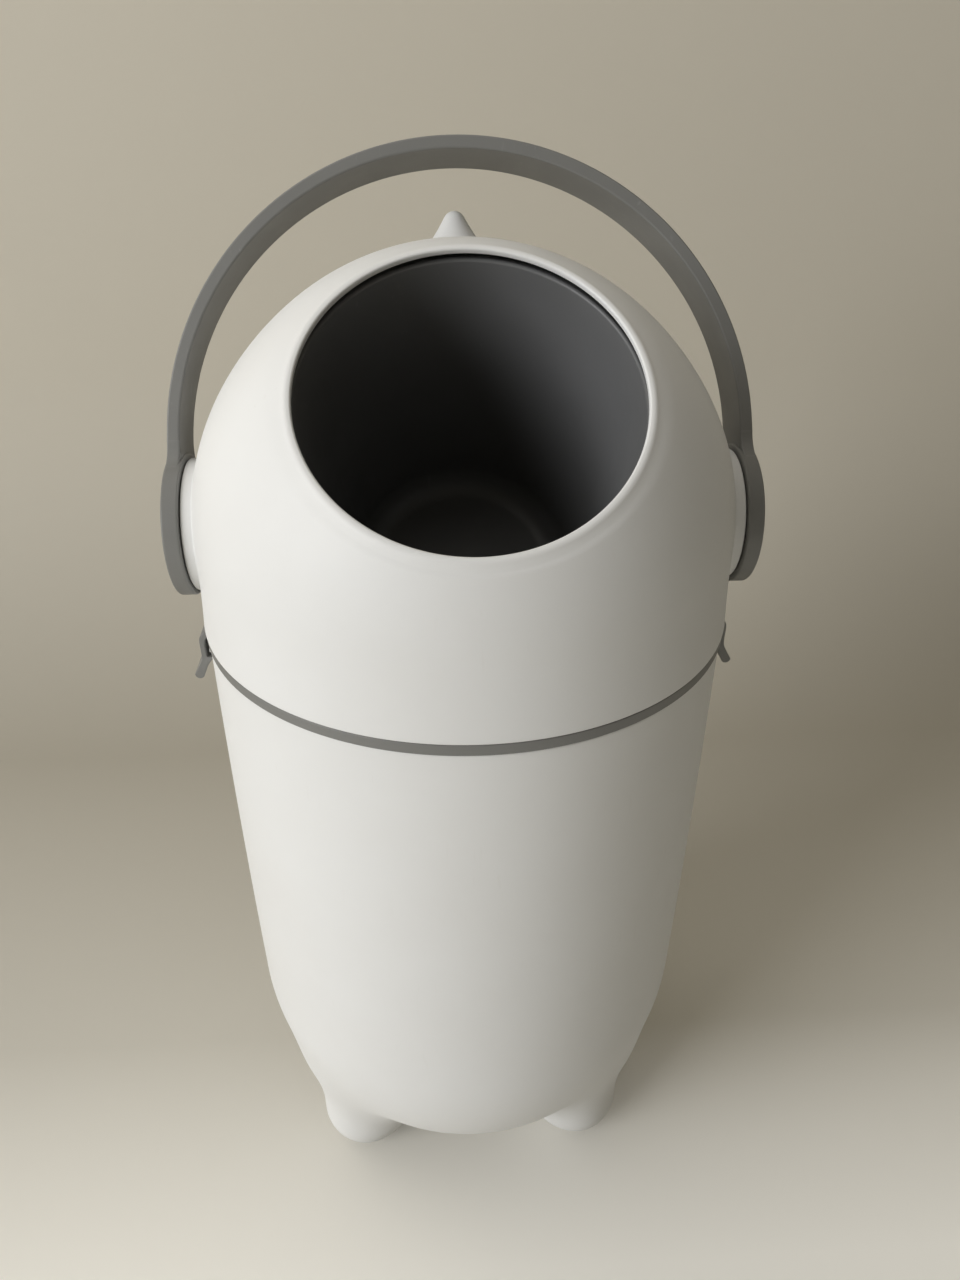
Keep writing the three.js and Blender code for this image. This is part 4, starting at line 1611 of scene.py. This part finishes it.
    def gasket(self) -> bmesh.types.BMesh:
        """Makes the soft ring in the spigot's groove.

        Returns:
            The gasket.
        """
        top = self.bottom - self.gasket_drop
        bore = self.spigot_outer - self.groove_depth + LEVELS.gap
        radius = LEVELS.body_radius - LEVELS.body_wall - LEVELS.gap
        return flat_ring(bore, radius, top - self.gasket_height, top, (0.4, 0.8), self.steps)

    def drum_seal(self) -> bmesh.types.BMesh:
        """Makes the lip ring that wipes the drum from below.

        Returns:
            The seal.
        """
        low, top = self.bottom, self.bottom + self.seal_height
        lip = math.sqrt(LEVELS.drum_radius**2 - (LEVELS.hub - top) ** 2) + self.seal_overlap
        outer = self.flange_radius - LEVELS.gap
        outline = [
            (outer - self.seal_width, low, 0.3),
            (outer, low, 0.3),
            (outer, top, 0.3),
            (lip, top, 0.2),
        ]
        return spun(rounded(outline, steps=3), self.steps)

    def mouth_seal(self) -> bmesh.types.BMesh:
        """Makes the soft ring between the mouth's lip and the drum.

        Returns:
            The seal in place.
        """
        outer = LEVELS.head_inner - self.mouth_seal_gap
        inner = LEVELS.drum_radius + self.seal_overlap
        middle, half = self.mouth_seal_radius, self.mouth_seal_width / 2
        narrow = half * self.mouth_seal_taper
        outline = [
            (*on_ball(middle - half, outer), 0.4),
            (*on_ball(middle - narrow, inner), 0.4),
            (*on_ball(middle + narrow, inner), 0.4),
            (*on_ball(middle + half, outer), 0.4),
        ]
        return LEVELS.on_mouth_axis(spun(rounded(outline), 128))


# Drum


@dataclass
class Drum:
    """The round drum inside the head, the cup in its mouth, and the shaft stubs that turn it."""

    wall: float = 2.4
    mouth_radius: float = 82.3
    ledge_radius: float = 78.2
    ledge_thickness: float = 2.4
    cup_mouth: float = 75.5
    cup_floor: float = 62.0
    cup_floor_drop: float = 66.5
    cup_wall: float = 2.2
    cup_fillet: float = 15.0
    cup_edge: float = 1.3
    cup_draft: float = 4.0
    boss_radius: float = 17.0
    boss_inner: float = 110.0
    journal_radius: float = 11.7
    key_half: float = 7.7
    key_end: float = 142.4
    steps: int = 160

    def shell(self) -> bmesh.types.BMesh:
        """Makes the drum's round outer shell with its two inner bosses.

        Returns:
            The shell in place.
        """
        outer_radius, inner_radius = LEVELS.drum_radius, LEVELS.drum_radius - self.wall
        mouth = self.mouth_radius
        start = math.degrees(math.acos(mouth / outer_radius))
        stop = math.degrees(math.acos((mouth + 2 * self.wall) / inner_radius))
        ledge_top = inner_radius - LEVELS.gap
        ledge_low = ledge_top - self.ledge_thickness
        outer = arc((0, 0), outer_radius, start, -90, 72)
        inner = arc((0, 0), inner_radius, -90, stop, 48)
        outer[-1], inner[0] = (0.0, outer[-1][1]), (0.0, inner[0][1])
        ledge = [
            on_ball(mouth + self.wall, ledge_low),
            on_ball(self.ledge_radius, ledge_low),
            on_ball(self.ledge_radius, ledge_top),
            on_ball(mouth, ledge_top),
        ]
        rim = [(mouth, outer[0][1] - 0.5), (mouth + 0.15, outer[0][1] - 0.15)]
        form = LEVELS.on_mouth_axis(spun([*outer, *inner, *ledge, *rim], self.steps))
        bore, radius = self.key_half + 2, self.boss_radius
        end = math.sqrt(outer_radius**2 - radius**2) - LEVELS.gap - 1.0
        tube = rounded([(bore, self.boss_inner), (radius, self.boss_inner, 0.8), (radius, end), (bore, end)])
        return joined(form, *(LEVELS.on_hub_axis(spun(tube, 64), side) for side in Side))

    def cup(self) -> bmesh.types.BMesh:
        """Makes the tapered cup with its rolled rim.

        Returns:
            The cup in place.
        """
        floor, fillet, ball = -self.cup_floor_drop, self.cup_fillet, LEVELS.drum_radius
        roll_centre = on_ball(self.cup_mouth + self.cup_edge, ball - self.cup_edge)
        roll_end = math.degrees(math.atan2(roll_centre[1], roll_centre[0]))
        roll = arc(roll_centre, self.cup_edge, 180 - self.cup_draft, roll_end, 8)
        centre = (self.cup_floor - fillet, floor + fillet)
        inside = arc(centre, fillet, -90, -self.cup_draft, 14)
        edge, roll_edge = self.mouth_radius - LEVELS.gap, roll[-1][0]
        outline = [
            *((centre[0] * i / 8, floor) for i in range(8)),
            *inside,
            *between(inside[-1], roll[0], 30),
            *roll,
            *(on_ball(roll_edge + (edge - roll_edge - 0.3) * i / 3, ball) for i in range(1, 4)),
            on_ball(edge, ball - 0.4),
            on_ball(edge, ball - self.wall),
            on_ball(self.cup_mouth + self.cup_wall, ball - self.wall),
            *arc(centre, fillet + self.cup_wall, -self.cup_draft, -90, 12),
            (0.0, floor - self.cup_wall),
        ]
        return LEVELS.on_mouth_axis(spun(outline, self.steps, closed=False))

    def trunnion(self, side: Side) -> bmesh.types.BMesh:
        """Makes a shaft stub: a round journal and a square key.

        Args:
            side: The side of the bin.

        Returns:
            The stub in place.
        """
        start, half, hub = LEVELS.drum_radius + LEVELS.gap, self.key_half, LEVELS.hub
        journal = rod(self.journal_radius, start, LEVELS.boss_face, (0.4, 0.4), 64)
        key_start = self.boss_inner + LEVELS.gap
        key = block((key_start, -half, hub - half), (self.key_end, half, hub + half), 0.6)
        return moved(joined(LEVELS.on_hub_axis(journal, Side.RIGHT), key), side.turn)

    def build(self, shop: Workshop) -> None:
        """Makes the drum, the cup and the stubs.

        Args:
            shop: Where pieces are made.
        """
        shop.piece(self.shell(), "drum_ball", Body.DRUM, "dark_plastic", ["drum_shell"], Shading.ROUND)
        shop.piece(self.cup(), "drop_cup", Body.DRUM, "dark_plastic", ["drum_cup"], Shading.ROUND)
        for side in Side:
            name = f"shaft_stub_{side.value}"
            shop.piece(self.trunnion(side), name, Body.DRUM, "dark_plastic", [f"trunnion_{side.value}"])


# Handle


@dataclass
class CarryHandle:
    """The grey bail with its two hub discs, their caps, screws and washers."""

    hub_radius: float = 36.3
    hub_inner: float = 140.2
    hub_outer: float = 148.4
    hub_edge: float = 1.0
    cap_radius: float = 29.6
    cap_thickness: float = 1.6
    lean: float = 22.5
    arch_half_width: float = 141.7
    arch_rise: float = 140.4
    arch_start: float = 38.0
    strap_thickness: float = 6.4
    strap_width: float = 31.0
    strap_edge: float = 1.1
    shoulder: float = 44.0
    leg_end: float = 35.9
    fillet: float = 17.0
    web_edge: float = 0.9
    washer_bore: float = 12.0
    washer_radius: float = 25.0
    washer_inner: float = 139.9
    washer_outer: float = 140.7
    screw_radius: float = 5.5
    screw_shank: float = 1.9
    screw_bore: float = 2.2
    screw_seat: float = 145.0
    steps: int = 56

    def arch(self, widen: float) -> Outline:
        """Gives one half of the bail's front view.

        Args:
            widen: How far outside the strap's inner face it runs.

        Returns:
            Points as (distance from the middle, height above the axis).
        """
        width, rise = self.arch_half_width + widen, self.arch_rise + widen
        points = []
        for i in range(self.steps + 1):
            angle = math.radians(90 * i / self.steps)
            points.append((width * math.cos(angle), self.arch_start + rise * math.sin(angle)))
        points[-1] = (0.0, points[-1][1])
        return points

    def strap(self) -> bmesh.types.BMesh:
        """Makes the bail's strap, upright.

        Returns:
            The strap, its axis at z = 0.
        """
        inner, outer = self.hub_inner + self.hub_edge, self.hub_outer - self.hub_edge
        root = self.hub_radius / 2
        right = [
            (self.arch_half_width, self.leg_end),
            (inner, self.leg_end - 0.8),
            (inner, root),
            (outer, root),
            (outer, self.hub_radius - 1.0),
            (self.arch_half_width + self.strap_thickness + 0.12, self.shoulder - 2.5),
            *(p for p in self.arch(self.strap_thickness) if p[1] > self.shoulder),
        ]
        under = [p for p in self.arch(0.0) if p[1] > self.leg_end + 1]
        outline = [
            *right,
            *((-x, z) for x, z in reversed(right[:-1])),
            *((-x, z) for x, z in under),
            *reversed(under[:-1]),
        ]
        return drawn_out(outline, self.strap_width, self.strap_edge)

    def gusset(self, side: Side, front: int) -> bmesh.types.BMesh:
        """Makes the rounded web where the strap's edge runs into the hub's rim.

        Args:
            side: The side of the bin.
            front: -1 for the strap's front edge and 1 for its back edge.

        Returns:
            The web, upright, its axis at z = 0.
        """
        half, thickness = self.strap_width / 2, self.strap_thickness
        reach = half + self.fillet
        height = math.sqrt((self.hub_radius + self.fillet) ** 2 - reach**2)
        centre = Vector((reach, height))
        touch = centre * (self.hub_radius / centre.length)
        start = math.degrees(math.atan2(touch.y - centre.y, touch.x - centre.x))
        curve = arc((centre.x, centre.y), self.fillet, 180, start % 360, 14)
        outline = [*curve, (touch.x * 0.9, touch.y * 0.9), (half - 3, height - 12), (half - 3, height)]
        form = drawn_out([(front * y, z) for y, z in outline], thickness, self.web_edge)
        middle = side.sign * (self.arch_half_width + thickness / 2)
        turn = Matrix.Rotation(math.radians(90), 4, "Z")
        return moved(form, Matrix.Translation((middle, 0, 0)) @ turn)

    def hub(self) -> bmesh.types.BMesh:
        """Makes a hub disc with the recess for its cap.

        Returns:
            The disc, spun about Z, its faces at their distances from the middle of the bin.
        """
        radius, inner, outer = self.hub_radius, self.hub_inner, self.hub_outer
        washer, washer_floor = self.washer_radius + LEVELS.gap, self.washer_outer + LEVELS.gap
        cap, cap_floor = self.cap_radius + LEVELS.gap, outer - self.cap_thickness - LEVELS.gap
        screw = self.screw_radius + LEVELS.gap
        outline = [
            (self.screw_bore, washer_floor),
            (washer, washer_floor, 0.1),
            (washer, inner, 0.1),
            (radius, inner, self.hub_edge),
            (radius, outer, self.hub_edge),
            (cap, outer, 0.35),
            (cap, cap_floor, 0.2),
            (screw, cap_floor, 0.2),
            (screw, self.screw_seat, 0.2),
            (self.screw_bore, self.screw_seat),
        ]
        return spun(rounded(outline), 128)

    def build(self, shop: Workshop) -> None:
        """Makes the handle and what is on its hubs.

        Args:
            shop: Where pieces are made.
        """
        gussets = [self.gusset(side, front) for side in Side for front in (-1, 1)]
        lean = Matrix.Rotation(-math.radians(self.lean), 4, "X")
        strap = moved(joined(self.strap(), *gussets), Matrix.Translation((0, 0, LEVELS.hub)) @ lean)
        hubs = [LEVELS.on_hub_axis(self.hub(), side) for side in Side]
        shop.piece(joined(strap, *hubs), "carry_handle", Body.DRUM, "grey_plastic", ["handle"])
        for side in Side:
            self.build_side(shop, side)

    def build_side(self, shop: Workshop, side: Side) -> None:
        """Makes one hub's cap, screw and washer.

        Args:
            shop: Where pieces are made.
            side: The side of the bin.
        """
        outer, inner, face = self.hub_outer, self.washer_inner, self.washer_outer
        cap = rod(self.cap_radius, outer - self.cap_thickness, outer, (0.2, 0.5), 96, crown=0.1)
        washer = flat_ring(self.washer_bore, self.washer_radius, inner, face, (0.1, 0.2), 96)
        parts = (
            (cap, "hub_cover", "grey_plastic", "hub_cap"),
            (washer, "friction_washer", "bush_plastic", "hub_washer"),
            (self.screw(), "hub_fixing", "steel", "hub_screw"),
        )
        for form, name, slot, node in parts:
            placed = LEVELS.on_hub_axis(form, side)
            shop.piece(placed, f"{name}_{side.value}", Body.DRUM, slot, [f"{node}_{side.value}"])

    def screw(self) -> bmesh.types.BMesh:
        """Makes a hub screw with a dimpled round head.

        Returns:
            The screw, spun about Z, its heights from the middle of the bin.
        """
        seat, head, shank = self.screw_seat, self.screw_radius, self.screw_shank
        outline = [
            (0.0, seat - 13.8),
            (shank, seat - 12.0),
            (shank, seat),
            (head, seat),
            (head, seat + 0.7),
            (head - 0.8, seat + 1.25),
            (1.6, seat + 1.3),
            (1.3, seat + 0.7),
            (0.0, seat + 0.6),
        ]
        return spun(outline, 40, closed=False)


# Latches


@dataclass
class SideLatch:
    """An S-shaped side latch that hinges on a pin under the collar's band."""

    width: float = 21.0
    pin_x: float = 137.3
    pin_z: float = 400.0
    pin_radius: float = 1.2
    knuckle: float = 2.5
    arm: float = 2.8
    bulge: float = 7.0
    bulge_drop: float = 12.0
    nose_drop: float = 21.4
    tab_reach: float = 10.95
    tab_drop: float = 35.0
    tab_radius: float = 2.7
    edge: float = 0.55
    pin_past: float = 3.6

    def outline(self) -> Outline:
        """Gives the latch's side view about its pin.

        Returns:
            The closed outline.
        """
        thick, nose_z = self.arm / 2, -self.nose_drop
        outer, inner, nose_x = self.bulge + thick, self.bulge - thick, self.bulge - LEVELS.catch_reach
        tip_centre = (self.tab_reach, -self.tab_drop + self.tab_radius)
        outside = smooth_path(
            [
                (1.4, self.knuckle - 0.45),
                (2.3, -1.2),
                (3.3, -4.2),
                (6.4, -7.0),
                (outer - 0.1, -self.bulge_drop + 1.6),
                (outer, nose_z),
                (outer + 1.6, nose_z - 4.6),
                (self.tab_reach + self.tab_radius, tip_centre[1]),
            ],
            6,
        )
        tip = arc(tip_centre, self.tab_radius, 0, -150, 8)[1:]
        inside = smooth_path(
            [
                tip[-1],
                (self.bulge - 1.4, nose_z - self.arm - 2.6),
                (nose_x, nose_z - self.arm + 0.4),
            ],
            5,
        )[1:]
        nose = [
            (nose_x - thick, nose_z - 0.7),
            (nose_x - thick, nose_z - 0.1),
            (inner - 0.4, nose_z + 0.2),
            (inner, nose_z + 0.8),
        ]
        back = smooth_path(
            [
                (inner, nose_z + 3),
                (inner, -self.bulge_drop - 0.6),
                (3.9, -8.4),
                (1.2, -5.7),
                (-0.4, -self.knuckle),
            ],
            5,
        )
        knuckle = arc((0.0, 0.0), self.knuckle, 265, 62, 14)
        return [*outside, *tip, *inside, *nose, *back, *knuckle[1:-1]]

    def build(self, shop: Workshop, side: Side) -> None:
        """Makes the latch and its pin on one side.

        Args:
            shop: Where pieces are made.
            side: The side of the bin.
        """
        place = side.turn @ Matrix.Translation((self.pin_x, 0, self.pin_z))
        body = Body.LATCH_RIGHT if side is Side.RIGHT else Body.LATCH_LEFT
        form = moved(drawn_out(self.outline(), self.width, self.edge), place)
        shop.piece(form, f"snap_latch_{side.value}", body, "grey_plastic", [f"latch_{side.value}"])
        half = self.width / 2 + self.pin_past
        pin = rod(self.pin_radius, -half, half, (0.3, 0.3), 32)
        moved(pin, place @ Matrix.Rotation(math.radians(90), 4, "X"))
        shop.piece(pin, f"hinge_pin_{side.value}", Body.HEAD, "steel", [f"latch_pin_{side.value}"])


# Studio


@dataclass(frozen=True)
class SoftBox:
    """A square area lamp that looks at the bin."""

    name: str
    place: tuple[float, float, float]
    size: float
    power: float
    colour: Colour
    aim: tuple[float, float, float] = (0.0, 0.0, 0.33)

    def build(self) -> None:
        """Hangs the lamp."""
        data = bpy.data.lights.new(self.name, "AREA")
        data.shape = "SQUARE"
        data.size = self.size
        data.energy = self.power
        data.color = self.colour
        lamp = bpy.data.objects.new(self.name, data)
        lamp.location = self.place
        way = Vector(self.aim) - Vector(self.place)
        lamp.rotation_euler = way.to_track_quat("-Z", "Y").to_euler()
        bpy.context.scene.collection.objects.link(lamp)


@dataclass
class Studio:
    """The pale floor and backdrop, the soft light and the camera."""

    floor_colour: Colour = (0.93, 0.915, 0.86)
    # Painted shade: the floor's colour behind the bin, darker than in front, and where that darkening
    # starts.
    painted_far_shade_colour: Colour = (0.46, 0.43, 0.365)
    wall_colour: Colour = (0.6, 0.56, 0.475)
    paper_roughness: float = 0.75
    painted_far_shade_start: float = -0.55
    # Painted pool of light: how strongly the front of the floor glows, and the band over which the glow
    # fades.
    painted_light_pool: float = 0.22
    painted_light_pool_band: tuple[float, float] = (-0.15, 0.03)
    floor_front: float = -5.0
    floor_half: float = 6.0
    wall_distance: float = 0.75
    wall_curve: float = 0.35
    wall_top: float = 3.0
    camera_place: tuple[float, float, float] = (-0.0203, -0.4706, 0.6621)
    camera_azimuth: float = 3.46
    camera_pitch: float = 31.02
    camera_roll: float = -0.16
    lens: float = 27.29
    sensor_width: float = 36.0
    lamps: tuple[SoftBox, ...] = (
        SoftBox("window_light", (-4.8, -3.1, 2.3), 3.2, 258.0, (0.98, 0.99, 1.0)),
        SoftBox("ceiling_light", (-0.5, -0.1, 2.4), 2.0, 13.0, (1.0, 0.97, 0.91)),
    )
    world_strength: float = 0.105
    world_colour: Colour = (1.0, 0.905, 0.7)

    def sweep(self) -> None:
        """Makes the floor that curves up into the backdrop."""
        form = bmesh.new()
        start, curve, half = self.wall_distance, self.wall_curve, self.floor_half
        path = [(self.floor_front, 0.0), (0.0, 0.0), (start - curve, 0.0)]
        path += [(y, z + curve) for y, z in arc((start - curve, 0.0), curve, -90, 0, 24)[1:]]
        path += [(start, self.wall_top)]
        verts = [form.verts.new((-half, y, z)) for y, z in path]
        edges = [form.edges.new(pair) for pair in zip(verts, verts[1:])]
        grown = bmesh.ops.extrude_edge_only(form, edges=edges)
        bmesh.ops.translate(form, verts=new_verts(grown), vec=(2 * half, 0, 0))
        bmesh.ops.recalc_face_normals(form, faces=form.faces)
        mesh = bpy.data.meshes.new("studio_floor")
        form.to_mesh(mesh)
        form.free()
        for polygon in mesh.polygons:
            polygon.use_smooth = True
        mesh.materials.append(self.paper())
        floor = bpy.data.objects.new("studio_floor", mesh)
        bpy.context.scene.collection.objects.link(floor)

    def paper(self) -> bpy.types.Material:
        """Makes the backdrop's paper: palest in front under a painted pool of light, and darker behind the
        bin with painted shade.

        Returns:
            The material.
        """
        sheet = NodeSheet("studio_paper")
        shader = sheet.add("ShaderNodeBsdfPrincipled")
        shader.inputs["Roughness"].default_value = self.paper_roughness
        place = sheet.add("ShaderNodeSeparateXYZ")
        sheet.link(sheet.add("ShaderNodeTexCoord").outputs["Object"], place.inputs["Vector"])
        y, z = place.outputs["Y"], place.outputs["Z"]
        # Painted shade: the floor's colour darkens towards the back, behind the bin.
        far = sheet.ranged(y, (self.painted_far_shade_start, self.wall_distance - self.wall_curve), (0.0, 1.0))
        ground = sheet.mixed(far, self.floor_colour, self.painted_far_shade_colour)
        upright = sheet.ranged(z, (0.0, self.wall_curve), (0.0, 1.0))
        sheet.link(sheet.mixed(upright, ground, self.wall_colour), shader.inputs["Base Color"])
        # Painted pool of light: the front of the floor glows in the floor's colour, seen only by camera and
        # glossy rays.
        rays = sheet.add("ShaderNodeLightPath").outputs
        seen = sheet.maths("MAXIMUM", rays["Is Camera Ray"], rays["Is Glossy Ray"])
        front = sheet.ranged(y, self.painted_light_pool_band, (self.painted_light_pool, 0.0))
        shader.inputs["Emission Color"].default_value = (*self.floor_colour, 1.0)
        sheet.link(sheet.maths("MULTIPLY", seen, front), shader.inputs["Emission Strength"])
        return sheet.shown(shader)

    def camera(self) -> None:
        """Sets the camera at the photograph's place and angle."""
        pan, pitch = math.radians(self.camera_azimuth), math.radians(self.camera_pitch)
        roll = math.radians(self.camera_roll)
        level = math.cos(pitch)
        ahead = Vector((math.sin(pan) * level, math.cos(pan) * level, -math.sin(pitch)))
        right = Vector((math.cos(pan), -math.sin(pan), 0.0))
        down = ahead.cross(right)
        right, down = (
            right * math.cos(roll) + down * math.sin(roll),
            down * math.cos(roll) - right * math.sin(roll),
        )
        data = bpy.data.cameras.new("camera")
        data.lens = self.lens
        data.sensor_fit = "AUTO"
        data.sensor_width = self.sensor_width
        data.clip_start = 0.01
        data.dof.use_dof = False
        camera = bpy.data.objects.new("camera", data)
        turn = Matrix((right, -down, -ahead)).transposed().to_4x4()
        camera.matrix_world = Matrix.Translation(self.camera_place) @ turn
        bpy.context.scene.collection.objects.link(camera)
        bpy.context.scene.camera = camera

    def build(self) -> None:
        """Builds the whole studio."""
        self.camera()
        self.sweep()
        for lamp in self.lamps:
            lamp.build()
        world = bpy.data.worlds.new("studio_air")
        world.use_nodes = True
        air = world.node_tree.nodes["Background"]
        air.inputs["Color"].default_value = (*self.world_colour, 1.0)
        air.inputs["Strength"].default_value = self.world_strength
        bpy.context.scene.world = world
        bpy.context.scene.view_settings.view_transform = "Standard"


def main() -> None:
    """Builds the studio and every piece."""
    logging.basicConfig(level=logging.INFO, format="%(message)s")
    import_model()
    Studio().build()
    shop = Workshop()
    collar = Collar()
    BodyHousing().build(shop)
    HeadHousing().build(shop, collar.screw_places())
    collar.build(shop)
    Drum().build(shop)
    CarryHandle().build(shop)
    for side in Side:
        SideLatch().build(shop, side)
    LOG.info("made %d pieces", shop.made)


if __name__ == "__main__":
    main()
